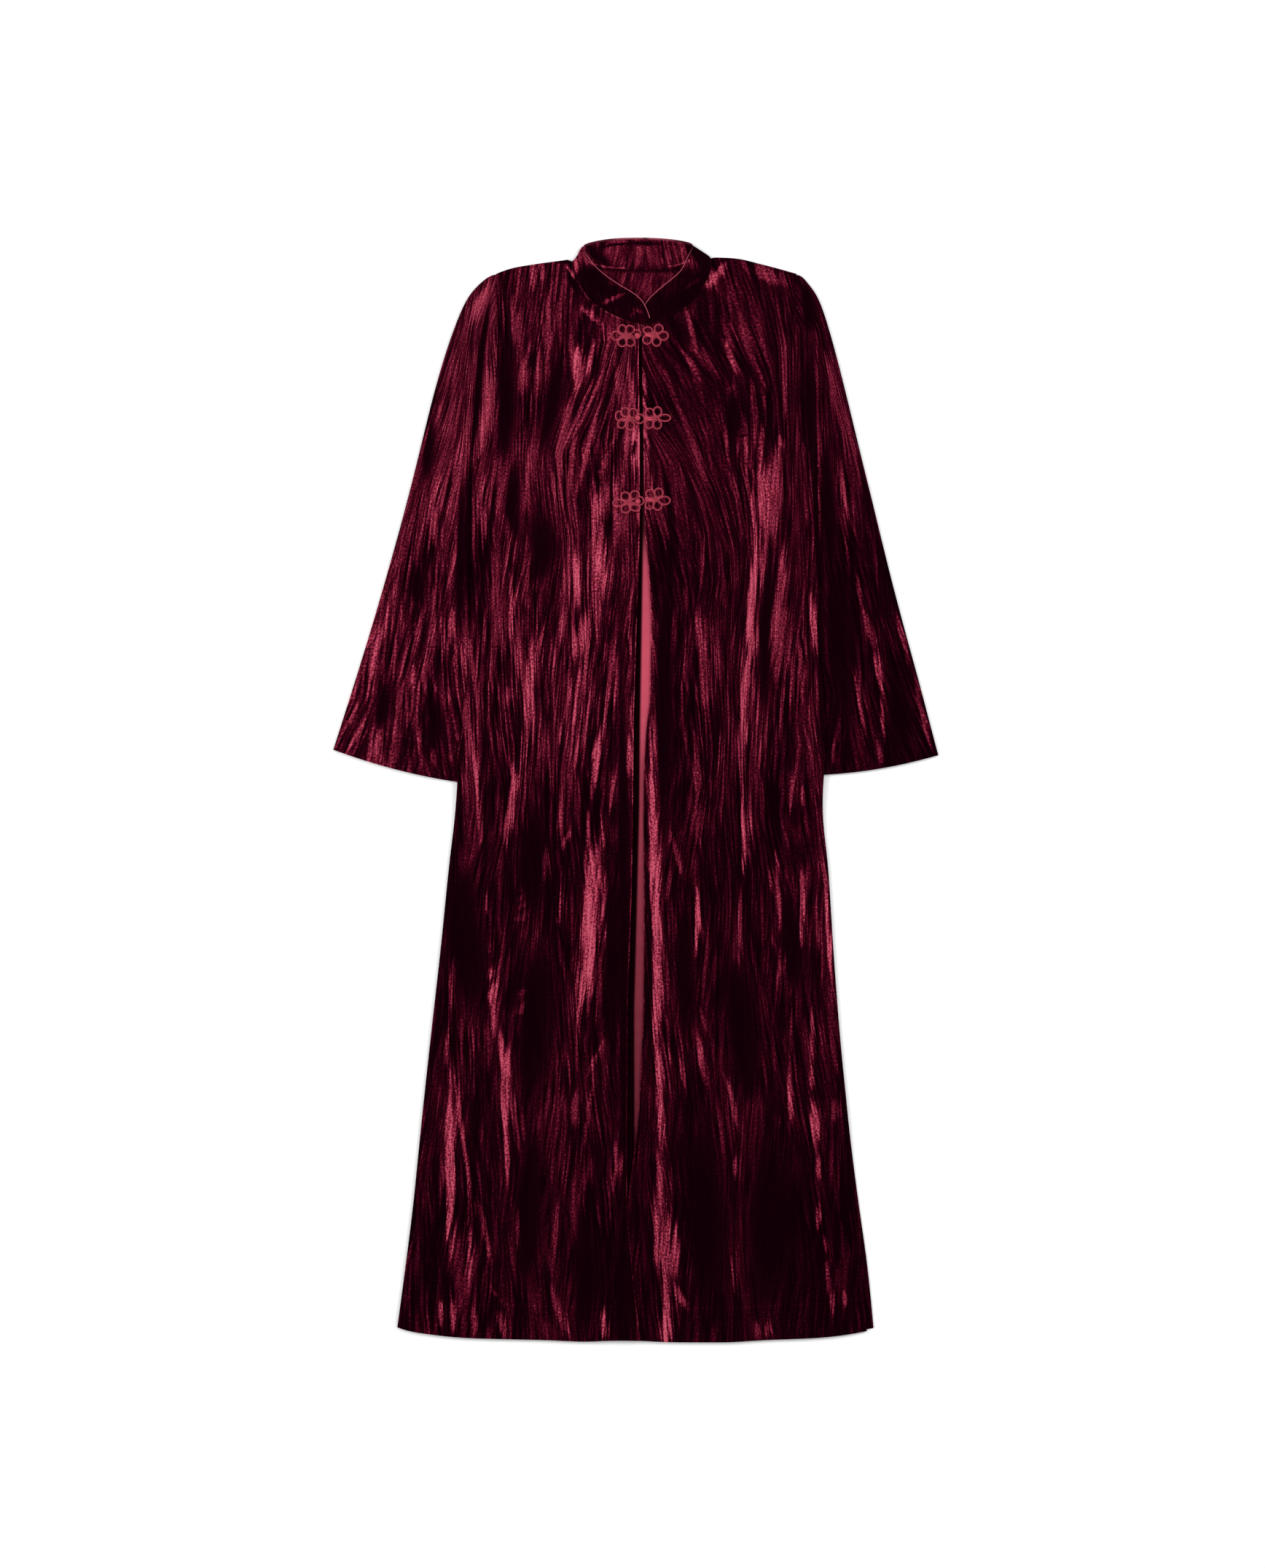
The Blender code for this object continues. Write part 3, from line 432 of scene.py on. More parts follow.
def velvet_material(pile, line):
    """Burgundy velvet whose pile with its painted sheen and shade, hem stitches and the painted highlights of
    turned edges and seams follow the piece's own records.
    """
    material, tree = new_material("crushed velvet")

    def line_beside(record, at, width):
        inputs = {"Distance": recorded(tree, record), "At": at, "Width": width}
        return add(tree, "ShaderNodeGroup", inputs, node_tree=line).outputs["Mask"]

    stitches = line_beside("hem", HEM_DEPTH, STITCH_WIDTH)
    inputs = {name: recorded(tree, name.lower()) for name in ("Body", "Shine", "Shade", "Crush")}
    inputs["Nap"] = maths(tree, "MULTIPLY_ADD", stitches, 0.12, recorded(tree, "nap"))
    inputs["EdgeHighlight"] = line_beside("edge", EDGE_HIGHLIGHT_AT, EDGE_HIGHLIGHT_WIDTH)
    inputs["Grain"] = recorded(tree, "grain", "Vector")
    crushed = add(tree, "ShaderNodeGroup", inputs, node_tree=pile).outputs
    return surfaced(material, {
        "Base Color": crushed["Color"],
        "Roughness": crushed["Roughness"],
        "Normal": relief(tree, crushed["Height"], 0.6, 0.0008),
        "Specular IOR Level": 0.0,
        "Sheen Weight": 0.06,
        "Sheen Roughness": 0.25,
        "Sheen Tint": (1.0, 0.25, 0.38, 1),
    })


velvet = velvet_material(pile_group(), line_group())

shells = {}
shells["back"] = back = cloth_shell("back", "velvet_back", VELVET_LEVELS - 1)
pile_on(back, BACK_STREAKS, BACK_GROUND, BACK_RUN, hem=distance_up(back))
back.data.materials.append(velvet)
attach(back, "root")
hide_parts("back")

# ---- Back lining ----
# Rose satin, cut a little smaller than the back and sewn in at the neck and sides. It
# shows as a narrow strip where the fronts part, with its sheen and shade painted down the
# strip and the right front's shadow painted along its edge; its small creases from being
# folded are painted as light and dark bands.
# Painted sheen and shade down the lining's strip, darkest at its ends.
LINING_SHEEN = (  # pixels down the photograph, and how light it is there
    (725, 0.0), (770, 0.65), (900, 0.78), (1000, 0.72), (1060, 0.42),
    (1200, 0.3), (1480, 0.13), (1530, 0.1), (1565, 0.0),
)
# The right front's edge over the lining, in pixels, x and y by turns.
SLIT_EDGE = (876, 720, 874, 846, 871.5, 1000, 870.5, 1107, 867, 1250, 863.5, 1387, 864, 1560)
SHADE_FROM, SHADE_TO = 0.005, 0.0088  # metres from that edge over which the front's painted shadow thins away
LINING_LEVELS = 3
# The satin in painted shade and in painted sheen.
SATIN_SHADED, SATIN_SHEEN = (0.004, 0.0, 0.001, 1), (0.50, 0.070, 0.112, 1)
LINING_WEAVE = 2200  # threads to the metre


def satin_material(name, dark, light, weave_per_metre):
    """Satin: a fine warp-faced weave with a soft sheen, painted into its colour with its crease bands and the
    shadow of an edge beside it, where one is recorded.
    """
    material, tree = new_material(name)
    grain = recorded(tree, "grain", "Vector")
    weave = noise(tree, grain, (weave_per_metre, weave_per_metre / 8, weave_per_metre), 2)
    painted_crease_bands = noise(tree, grain, (6, 70, 6), 1)
    shine = maths(tree, "MULTIPLY_ADD", weave, 0.12, recorded(tree, "nap"))
    shine = maths(tree, "MULTIPLY_ADD", painted_crease_bands, 0.12, shine)
    # The painted shadow of the edge that lies over it.
    shine = maths(tree, "MULTIPLY", shine, edged(tree, recorded(tree, "edge"), SHADE_FROM, SHADE_TO))
    colour = add(tree, "ShaderNodeMix", {"Factor": shine, 6: dark, 7: light}, data_type="RGBA")
    return surfaced(material, {
        "Base Color": colour.outputs[2],
        "Roughness": 0.5,
        "Normal": relief(tree, weave, 0.4, 0.0004),
        "Specular IOR Level": 0.0,
    })


lining = cloth_shell("back_lining", "satin_lining", LINING_LEVELS)
spots = in_photo(points_of(lining))
# The lining's painted sheen and shade go into its nap record, and its distance from the front's edge sets the
# painted shadow.
record_on(
    lining,
    nap=np.interp(spots[:, 1], *zip(*LINING_SHEEN)),
    edge=(spots[:, 0] - line_at(SLIT_EDGE, spots[:, 1])) * PIXEL,
    grain=points_of(lining),
)
lining.data.materials.append(satin_material("rose satin", SATIN_SHADED, SATIN_SHEEN, LINING_WEAVE))
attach(lining, "root")
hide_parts("back_lining")

# ---- Back neck facing ----
# A small shaped piece of the same velvet that finishes the inside of the back neck. Its
# pile is flattened by wear, so it is mottled and not streaked.
# Painted sheen in broad patches, and painted shade towards the left end.
FACING_STREAKS = pressed(
    (55, 26, 850, 385, 900, 395, 930, 380), (50, 24, 860, 425, 895, 440),
    (10, 6, 812, 370, 885, 373, 955, 368), (15, 30, 826, 385, 840, 420),
)
FACING_GROUND = ((340, 0.42, 0.6), (520, 0.36, 0.6))
NECK_RUN = ((760, 320, 760, 520), (1000, 320, 1000, 520))
WORN = (0.8, 2.0)  # flattened pile has no run: the streaks are widened and shortened into mottling
FACING_FLAT, FACING_AREA, FACING_LEVELS = (0.160, 0.087), 0.0114, 4

facing = cloth_shell("neck_facing", "velvet_neck_facing", FACING_LEVELS)
pile_on(facing, FACING_STREAKS, FACING_GROUND, NECK_RUN, grain=WORN)
facing.data.materials.append(velvet)
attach(facing, "root")
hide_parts("neck_facing")

# ---- Fronts ----
# Two flared velvet panels that meet edge to edge and part below the frogs. Crests of
# soft folds run down from the shoulders, with the pressed pile's sheen painted along them
# as highlights, and the folds between them and beside the armholes painted in shade.
FRONT_RIGHT_STREAKS = pressed(
    (0, 26, 694, 462, 696, 560, 690, 640), (10, 50, 738, 690, 744, 745, 746, 800),
    (0, 18, 782, 362, 786, 384, 798, 404), (0, 12, 764, 357, 778, 358, 790, 357),
    (70, 3, 775, 363, 781, 369, 789, 382), (0, 22, 706, 640, 702, 700, 712, 740),
    (0, 22, 770, 490, 756, 560, 745, 620),
    (0, 18, 852, 800, 855, 1000, 857, 1250, 859, 1560, 862, 1830),
    (5, 34, 740, 1110, 730, 1180, 722, 1260), (0, 50, 640, 1190, 634, 1260, 650, 1380),
    (0, 44, 740, 1300, 735, 1400, 728, 1500), (0, 26, 842, 1200, 842, 1320, 836, 1440),
    (0, 34, 803, 1680, 806, 1760, 800, 1820), (0, 36, 856, 1690, 860, 1760, 856, 1838),
    (0, 40, 735, 1560, 725, 1660, 720, 1760), (72, 12, 730, 352, 734, 396),
    (72, 12, 742, 350, 747, 388), (74, 10, 802, 552, 786, 620, 778, 694),
    (78, 8, 824, 556, 806, 620, 790, 684), (72, 9, 776, 556, 767, 620, 771, 704),
    (74, 8, 845, 486, 851, 560), (76, 7, 861, 492, 870, 562), (70, 8, 854, 512, 861, 580),
    (74, 6, 741, 470, 734, 560), (70, 7, 754, 402, 750, 480), (70, 8, 728, 600, 722, 700),
    (72, 8, 850, 640, 846, 740), (65, 12, 714, 422, 716, 484), (70, 12, 718, 496, 716, 545),
    (90, 17, 823, 661, 820, 700, 815, 735), (115, 12, 874, 580, 873, 642),
    (62, 26, 684, 770, 686, 840, 684, 900), (60, 3, 650, 650, 650, 755), (70, 14, 638, 945, 640, 1006),
    (70, 16, 698, 939, 699, 969), (70, 18, 797, 914, 796, 975), (70, 14, 838, 871, 837, 975),
    (90, 6, 864, 1006, 863, 1064), (60, 4, 775, 1052, 769, 1141), (70, 6, 783, 1139, 770, 1164),
    (60, 4, 825, 1300, 823, 1370), (60, 6, 629, 1394, 631, 1430), (70, 6, 613, 1417, 612, 1463),
    (50, 8, 716, 1215, 716, 1279), (50, 7, 718, 1348, 714, 1396), (60, 4, 670, 1761, 696, 1794),
    (60, 4, 818, 1460, 798, 1587), (60, 4, 767, 1628, 760, 1740), (50, 7, 790, 1608, 790, 1680),
    (60, 4, 711, 1654, 711, 1715), (55, 22, 628, 1670, 634, 1750, 636, 1830),
    (70, 7, 606, 1786, 605, 1818), (75, 9, 621, 1786, 624, 1830), (65, 9, 650, 1795, 655, 1828),
    (65, 12, 682, 1792, 694, 1835), (95, 10, 828, 1795, 828, 1838),
)


def raised(*rows):
    """Streaks of painted highlight on the crests of folds, whose rows have the rise in millimetres after the
    width.
    """
    return [pressed((shine, width, *path))[0]._replace(rise=rise) for shine, width, rise, *path in rows]


FRONT_RIGHT_CRESTS = raised(
    (65, 12, 0.6, 703, 401, 708, 471), (95, 20, 0.8, 796, 420, 812, 432, 826, 447),
    (95, 19, 1.2, 797, 468, 796, 505, 793, 539), (70, 22, 0.8, 784, 545, 776, 590, 764, 637),
    (70, 7, 0.8, 841, 483, 812, 548, 786, 604), (70, 7, 0.6, 836, 508, 800, 580, 772, 637),
    (65, 6, 0.6, 827, 569, 811, 612, 799, 643), (65, 6, 0.6, 860, 560, 828, 640, 800, 700),
    (65, 16, 0.6, 684, 630, 685, 700), (65, 18, 0.8, 683, 755, 684, 853),
    (90, 7, 1.5, 699, 770, 703, 820, 700, 884), (70, 4, 0.4, 646, 860, 650, 920, 655, 985),
    (100, 15, 2.0, 731, 859, 729, 910, 725, 954, 723, 1030),
    (95, 5, 1.0, 646, 975, 653, 1052, 662, 1141),
    (100, 13, 1.8, 692, 1024, 708, 1067, 702, 1104, 696, 1159), (95, 15, 1.0, 791, 761, 792, 832),
    (90, 24, 1.6, 821, 700, 820, 792, 815, 853), (95, 22, 1.4, 806, 838, 797, 880, 789, 914),
    (100, 9, 1.2, 824, 994, 815, 1067, 809, 1144), (95, 5, 0.6, 655, 1070, 658, 1144),
    (95, 13, 1.2, 708, 1080, 699, 1118, 693, 1158), (70, 7, 0.6, 775, 1085, 767, 1131, 760, 1144),
    (70, 8, 0.5, 750, 1160, 747, 1210), (75, 8, 0.8, 813, 1080, 808, 1131, 803, 1207),
    (100, 29, 2.4, 820, 1115, 814, 1207, 810, 1284, 801, 1360, 795, 1440),
    (70, 8, 0.5, 826, 1432, 808, 1473), (70, 4, 0.5, 668, 1223, 670, 1279, 673, 1309),
    (95, 8, 1.2, 676, 1320, 678, 1422), (95, 14, 1.2, 686, 1415, 696, 1485),
    (70, 6, 0.8, 622, 1302, 619, 1348, 619, 1390), (70, 6, 0.4, 769, 1223, 765, 1274),
    (100, 15, 2.0, 620, 1455, 619, 1536, 618, 1613, 619, 1690, 622, 1753, 630, 1781),
    (85, 4, 0.6, 622, 1460, 632, 1536, 640, 1593, 650, 1664),
    (80, 4, 0.4, 640, 1618, 645, 1690, 645, 1797), (95, 14, 1.4, 694, 1460, 693, 1500, 696, 1552),
    (80, 7, 0.6, 696, 1545, 696, 1600, 699, 1640), (70, 6, 0.6, 660, 1651, 668, 1702, 676, 1740),
    (75, 13, 0.8, 793, 1490, 788, 1531, 785, 1554), (75, 8, 0.8, 846, 1562, 846, 1603, 841, 1636),
    (70, 10, 0.6, 752, 1748, 764, 1790, 780, 1835),
)
FRONT_LEFT_STREAKS = pressed(
    (85, 5, 884, 466, 886, 560, 887, 640, 888, 735), (5, 44, 1005, 545, 1006, 600),
    (0, 20, 1056, 776, 1052, 870, 1048, 975), (0, 20, 912, 800, 911, 960, 912, 1150),
    (0, 12, 1073, 700, 1056, 761), (0, 90, 1060, 1570, 1062, 1680, 1058, 1780),
    (0, 50, 960, 1560, 966, 1660, 970, 1780), (0, 40, 1010, 1330, 1020, 1420, 1030, 1500),
    (0, 30, 1082, 1240, 1090, 1340), (0, 20, 940, 1240, 938, 1330, 940, 1420),
    (10, 30, 915, 430, 940, 470), (75, 14, 972, 362, 966, 392), (65, 22, 1025, 366, 1080, 388),
    (60, 4, 1092, 449, 1094, 480, 1098, 514), (80, 8, 1068, 596, 1074, 616),
    (70, 26, 1074, 820, 1070, 940), (80, 9, 1036, 640, 1034, 760),
    (78, 8, 1058, 604, 1056, 700, 1046, 800), (72, 7, 1020, 560, 1026, 660),
    (70, 6, 940, 420, 956, 480), (70, 7, 988, 560, 1002, 640),
    (78, 32, 904, 1560, 908, 1640, 914, 1730, 918, 1830), (60, 4, 960, 1381, 970, 1417),
    (70, 5, 1054, 1182, 1059, 1223), (75, 8, 1102, 1078, 1102, 1107), (65, 4, 1120, 1233, 1125, 1325),
    (60, 4, 1087, 1368, 1084, 1463), (50, 7, 1138, 1386, 1148, 1473), (70, 7, 1010, 1586, 1010, 1618),
    (70, 8, 1115, 1460, 1115, 1492), (60, 20, 1144, 1506, 1146, 1536), (70, 6, 1123, 1580, 1123, 1615),
    (70, 6, 1123, 1652, 1123, 1684), (65, 6, 1130, 1690, 1134, 1717), (70, 11, 1159, 1772, 1161, 1791),
    (65, 4, 1004, 1728, 1007, 1779), (65, 6, 1039, 1810, 1041, 1838), (65, 6, 1052, 1810, 1053, 1838),
)
FRONT_LEFT_CRESTS = raised(
    (85, 12, 0.6, 1000, 358, 984, 378, 964, 398), (65, 8, 0.6, 933, 471, 948, 500, 958, 535),
    (65, 8, 0.6, 988, 422, 1000, 470, 1010, 526), (60, 7, 0.6, 1004, 401, 1024, 460, 1044, 520),
    (60, 8, 0.6, 900, 480, 925, 545, 952, 612, 979, 680), (65, 10, 0.6, 936, 569, 960, 630, 976, 690),
    (65, 7, 0.8, 1075, 465, 1079, 575), (85, 24, 1.4, 1046, 590, 1048, 680, 1052, 750),
    (80, 18, 1.0, 1068, 600, 1064, 690, 1062, 760),
    (100, 14, 2.0, 1041, 700, 1039, 761, 1031, 829, 1031, 884, 1022, 945, 1016, 1052, 1013, 1083),
    (75, 14, 1.0, 1074, 730, 1071, 801, 1062, 871, 1059, 933), (95, 11, 0.8, 1111, 813, 1120, 884),
    (70, 6, 0.4, 1096, 871, 1102, 960), (70, 22, 1.0, 958, 816, 967, 914, 973, 991),
    (70, 15, 0.8, 955, 1031, 961, 1098, 964, 1128), (60, 10, 0.8, 890, 776, 892, 880, 893, 975),
    (100, 15, 2.4, 893, 965, 895, 1080, 897, 1159, 898, 1233, 902, 1310,
     903, 1386, 905, 1463, 908, 1560, 908, 1640),
    (100, 15, 1.6, 906, 1625, 904, 1697, 901, 1760), (100, 30, 1.0, 912, 1796, 918, 1842),
    (90, 12, 0.6, 926, 1672, 929, 1752), (85, 9, 0.6, 922, 1756, 944, 1796),
    (70, 14, 1.0, 962, 1075, 960, 1116, 957, 1160), (70, 8, 0.4, 921, 1141, 936, 1200),
    (95, 6, 1.0, 957, 1223, 957, 1271, 954, 1312), (75, 10, 0.8, 960, 1424, 967, 1480, 973, 1494),
    (70, 7, 0.4, 934, 1447, 939, 1487), (95, 10, 1.4, 1021, 1080, 1023, 1169, 1018, 1207),
    (75, 5, 0.6, 1018, 1200, 1016, 1269, 1013, 1317), (75, 5, 0.4, 1065, 1172, 1069, 1269),
    (75, 7, 0.6, 1054, 1276, 1067, 1304, 1069, 1362), (90, 11, 1.4, 1101, 1168, 1104, 1215, 1101, 1290),
    (75, 5, 0.4, 1101, 1220, 1100, 1292), (75, 10, 0.8, 1116, 1376, 1116, 1464),
    (95, 6, 0.6, 1130, 1164, 1135, 1246, 1141, 1335, 1144, 1383),
    (75, 7, 0.6, 993, 1473, 1003, 1498, 1013, 1552), (80, 7, 0.6, 1084, 1458, 1084, 1541),
    (90, 17, 1.0, 1119, 1508, 1119, 1573), (65, 7, 0.4, 1134, 1728, 1142, 1794),
)
# Streaks that run across an armhole's seam, so the front and the sleeve both have them: the painted shade of
# the deep folds there, and a few painted highlights.
ARMHOLE_RIGHT_STREAKS = pressed(
    (-120, 7, 672, 410, 660, 484, 653.5, 563, 647, 625),
    (-120, 7, 646, 630, 642.5, 720, 643, 790, 646, 862),
)
ARMHOLE_RIGHT_CRESTS = raised(
    (95, 17, 1.0, 673, 500, 669, 560, 658, 620),
)
ARMHOLE_LEFT_STREAKS = pressed(
    (0, 18, 1106, 392, 1110, 424, 1112, 456), (0, 15, 1110, 484, 1112, 560, 1116, 640),
    (-100, 7, 1119, 600, 1120, 700, 1124, 808), (0, 10, 1125, 800, 1127, 920, 1130, 1056),
    (65, 3, 1121, 436, 1121, 500, 1123, 580, 1125, 750),
)
FRONT_RIGHT_RUN = (
    (660, 300, 655, 450, 635, 620, 628, 740, 618, 1000, 612, 1150, 596, 1300, 575, 1500, 530, 1860),
    (735, 300, 722, 450, 707, 620, 700, 740, 690, 1000, 692, 1150, 675, 1300, 660, 1500, 640, 1860),
    (790, 300, 788, 450, 757, 620, 763, 740, 745, 1000, 735, 1150, 730, 1300, 725, 1500, 715, 1860),
    (846, 300, 842, 470, 781, 620, 790, 740, 778, 1000, 766, 1150, 770, 1300, 768, 1500, 765, 1860),
    (862, 300, 860, 470, 829, 610, 816, 740, 812, 900, 800, 1150, 804, 1300, 800, 1500, 805, 1860),
    (872, 300, 866, 470, 866, 620, 858, 740, 852, 1000, 846, 1150, 842, 1300, 840, 1500, 845, 1860),
    (892, 300, 896, 540, 892, 740, 890, 1000, 888, 1150, 886, 1860),
)
FRONT_LEFT_RUN = (
    (850, 300, 850, 540, 862, 740, 862, 1860),
    (860, 300, 868, 480, 880, 560, 935, 636, 967, 735,
     976, 800, 970, 930, 957, 1130, 955, 1300, 950, 1860),
    (868, 300, 890, 470, 922, 540, 952, 610, 977, 680,
     996, 760, 1002, 800, 996, 930, 990, 1130, 995, 1860),
    (945, 300, 977, 411, 995, 476, 1013, 540, 1028, 610,
     1034, 680, 1030, 800, 1021, 930, 1015, 1130, 1030, 1860),
    (985, 300, 1016, 379, 1044, 444, 1057, 508, 1068, 600,
     1064, 680, 1048, 800, 1040, 930, 1036, 1130, 1056, 1860),
    (1040, 300, 1052, 379, 1080, 476, 1087, 580, 1084, 680,
     1074, 800, 1062, 930, 1060, 1130, 1084, 1300, 1104, 1860),
    (1090, 300, 1098, 400, 1100, 600, 1102, 800, 1108, 930, 1112, 1130, 1124, 1300, 1160, 1860),
    (1130, 300, 1132, 600, 1138, 930, 1150, 1130, 1166, 1300, 1215, 1860),
)
FRONT_RIGHT_GROUND = (
    (300, 0.3, 0.85), (700, 0.32, 0.95), (980, 0.34, 1.05), (1120, 0.21, 0.75), (1850, 0.18, 0.65)
)
FRONT_LEFT_GROUND = (
    (300, 0.23, 0.65), (700, 0.24, 0.7), (980, 0.26, 0.9), (1120, 0.21, 0.7), (1850, 0.14, 0.5)
)
MM = 0.001
RIM = 12  # pixels over which a crest dies away towards a cut edge
CREST_FOOT = 12  # pixels that a crest is wider than its streak
DRAWN_BACK = (  # pixels down, and across
    (735, 0), (765, 2), (800, 3), (850, 4.5), (960, 5.5), (1000, 2), (1060, 0)
)
EASE = 0.025  # metres from the front edge over which the drawn-back cloth is eased in
EDGE_PARTS = 140  # the parts of a front edge that are measured apart
# The seam between the fronts and the collar, in pixels, x and y by turns.
NECK_SEAM = (780, 370, 789, 382, 806, 409, 823, 423, 845, 435, 866, 442, 881, 445)


def move_points(piece, points):
    """Puts a piece's vertices at these places."""
    piece.data.vertices.foreach_set("co", points.ravel())
    piece.data.update()


def raise_crests(piece, streaks, edge_gap):
    """Lifts the cloth along the streaks that lie on folds, and leaves its cut edges where they are."""
    points = points_of(piece)
    spots = in_photo(points)
    rise = np.zeros(len(spots))
    for streak in streaks:
        rise = np.maximum(rise, streak.rise * MM * brushed(spots, streak, extra=CREST_FOOT))
    points[:, 2] += rise * np.clip(edge_gap / (RIM * PIXEL), 0, 1)
    move_points(piece, points)


def distance_in(piece, facing_right):
    """How far each vertex is inside the front edge, which is the piece's right side or its left."""
    across, up, _ = points_of(piece).T
    return above_lowest(-across if facing_right else across, up, EDGE_PARTS)


def beside_line(piece, line):
    """How far each vertex is from a line in the photograph, in metres."""
    return np.abs(along(in_photo(points_of(piece)), line)[0]) * PIXEL


def draw_back(piece, edge_gap):
    """Draws the left front's edge back where it bows away from the other, and eases the cloth beside it."""
    points = points_of(piece)
    drawn = np.interp(in_photo(points)[:, 1], *zip(*DRAWN_BACK))
    points[:, 0] += drawn * PIXEL * np.clip(1 - edge_gap / EASE, 0, 1)
    move_points(piece, points)


Front = namedtuple("Front", "half streaks crests run ground flat area")
FRONTS = (
    Front(
        "right", FRONT_RIGHT_STREAKS + ARMHOLE_RIGHT_STREAKS, FRONT_RIGHT_CRESTS + ARMHOLE_RIGHT_CRESTS,
        FRONT_RIGHT_RUN, FRONT_RIGHT_GROUND, (0.316, 1.409), 0.326,
    ),
    Front(
        "left", FRONT_LEFT_STREAKS + ARMHOLE_LEFT_STREAKS, FRONT_LEFT_CRESTS,
        FRONT_LEFT_RUN, FRONT_LEFT_GROUND, (0.315, 1.413), 0.3375,
    ),
)
for front in FRONTS:
    node = f"front_{front.half}"
    panel = shells[node] = cloth_shell(node, f"velvet_{node}", VELVET_LEVELS)
    edge = distance_in(panel, front.half == "right")
    hem = distance_up(panel)
    raise_crests(panel, front.crests, np.minimum(edge, hem))
    if front.half == "left":
        draw_back(panel, edge)
    # A painted highlight runs along the front edge and beside the neck seam.
    edge = np.minimum(edge, beside_line(panel, NECK_SEAM))
    pile_on(panel, front.streaks + front.crests, front.ground, front.run, hem=hem, edge=edge)
    panel.data.materials.append(velvet)
    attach(panel, "root")
    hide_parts(node)

# ---- Sleeves ----
# Set-in velvet tubes, flared to a wide cuff and pressed flat, with the pile running down
# the arm and a deep fold beside each armhole, whose shade is painted, as is the pile's sheen.
# The cuffs are hemmed as the coat is.
SLEEVE_RIGHT_STREAKS = pressed(
    (0, 16, 636, 650, 634, 730, 632, 808, 630, 880), (5, 20, 592, 580, 586, 650),
    (0, 20, 576, 780, 572, 826), (10, 26, 600, 960, 594, 1036), (15, 24, 532, 940, 522, 994),
    (90, 18, 676, 388, 660, 415, 647, 449), (65, 8, 628, 490, 618, 590, 610, 660),
    (60, 10, 612, 650, 608, 710), (65, 10, 602, 715, 597, 755), (75, 4, 627, 722, 622, 780, 614, 838),
    (60, 8, 590, 560, 572, 640, 556, 720), (60, 8, 557, 718, 549, 785), (75, 4, 530, 805, 521, 846),
    (65, 5, 573, 840, 569, 876), (72, 6, 596, 828, 592, 890), (90, 8, 621, 832, 619, 882),
    (80, 5, 622, 876, 626, 930), (90, 7, 569, 910, 566, 974), (70, 6, 566, 960, 560, 995),
    (60, 6, 520, 900, 516, 930), (65, 8, 499, 912, 484, 958), (60, 3, 495, 980, 493, 1016),
    (60, 6, 594, 1028, 596, 1052), (60, 6, 616, 1028, 622, 1052),
)
SLEEVE_LEFT_STREAKS = pressed(
    (0, 34, 1146, 780, 1150, 860, 1152, 960), (0, 16, 1134, 620, 1136, 700, 1142, 780),
    (0, 24, 1206, 740, 1228, 800, 1246, 860), (0, 26, 1230, 940, 1238, 1020),
    (64, 14, 1132, 470, 1146, 540, 1162, 615), (62, 6, 1150, 516, 1166, 590, 1184, 676),
    (70, 11, 1150, 632, 1162, 690, 1172, 740), (55, 5, 1160, 742, 1166, 794),
    (65, 4, 1175, 788, 1182, 836), (88, 8, 1184, 832, 1192, 862, 1200, 898),
    (82, 7, 1197, 884, 1204, 920, 1211, 956), (80, 5, 1208, 948, 1214, 1020),
    (78, 8, 1174, 920, 1186, 1010), (60, 6, 1204, 1016, 1210, 1046), (65, 8, 1230, 840, 1247, 912),
    (68, 8, 1254, 926, 1276, 1020), (50, 4, 1142, 1020, 1144, 1046),
)
SLEEVE_RIGHT_RUN = (
    (655, 340, 633, 450, 565, 700, 455, 1060),
    (700, 340, 664, 450, 648, 700, 628, 1060),
)
SLEEVE_LEFT_RUN = (
    (1050, 340, 1106, 450, 1122, 700, 1131, 1060),
    (1110, 340, 1142, 450, 1200, 700, 1292, 1060),
)
SLEEVE_RIGHT_GROUND = ((340, 0.42, 0.9), (700, 0.42, 0.95), (1060, 0.38, 0.95))
SLEEVE_LEFT_GROUND = ((340, 0.28, 0.8), (700, 0.18, 0.65), (1060, 0.12, 0.55))
SEAM_REACH = 0.0034  # metres, across the gap of a seam


def sew(piece, neighbours, reach, above=-np.inf):
    """Draws a piece's edge sideways up to the neighbours that it is sewn to, across the seam's gap."""
    points = points_of(piece)
    for neighbour in neighbours:
        for k in np.flatnonzero(points[:, 1] > above):
            found, place, _, _ = neighbour.closest_point_on_mesh(points[k], distance=reach)
            if found:
                points[k, :2] = place.xy
    move_points(piece, points)


Sleeve = namedtuple("Sleeve", "half streaks run ground flat area")
SLEEVES = (
    Sleeve(
        "right", SLEEVE_RIGHT_STREAKS + ARMHOLE_RIGHT_STREAKS + ARMHOLE_RIGHT_CRESTS,
        SLEEVE_RIGHT_RUN, SLEEVE_RIGHT_GROUND, (0.400, 0.664), 0.141,
    ),
    Sleeve(
        "left", SLEEVE_LEFT_STREAKS + ARMHOLE_LEFT_STREAKS,
        SLEEVE_LEFT_RUN, SLEEVE_LEFT_GROUND, (0.360, 0.653), 0.120,
    ),
)
for sleeve in SLEEVES:
    node = f"sleeve_{sleeve.half}"
    tube = cloth_shell(node, f"velvet_{node}", VELVET_LEVELS)
    sew(tube, [back, shells[f"front_{sleeve.half}"]], SEAM_REACH)
    pile_on(tube, sleeve.streaks, sleeve.ground, sleeve.run, hem=distance_up(tube))
    tube.data.materials.append(velvet)
    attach(tube, "root")
    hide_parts(node)

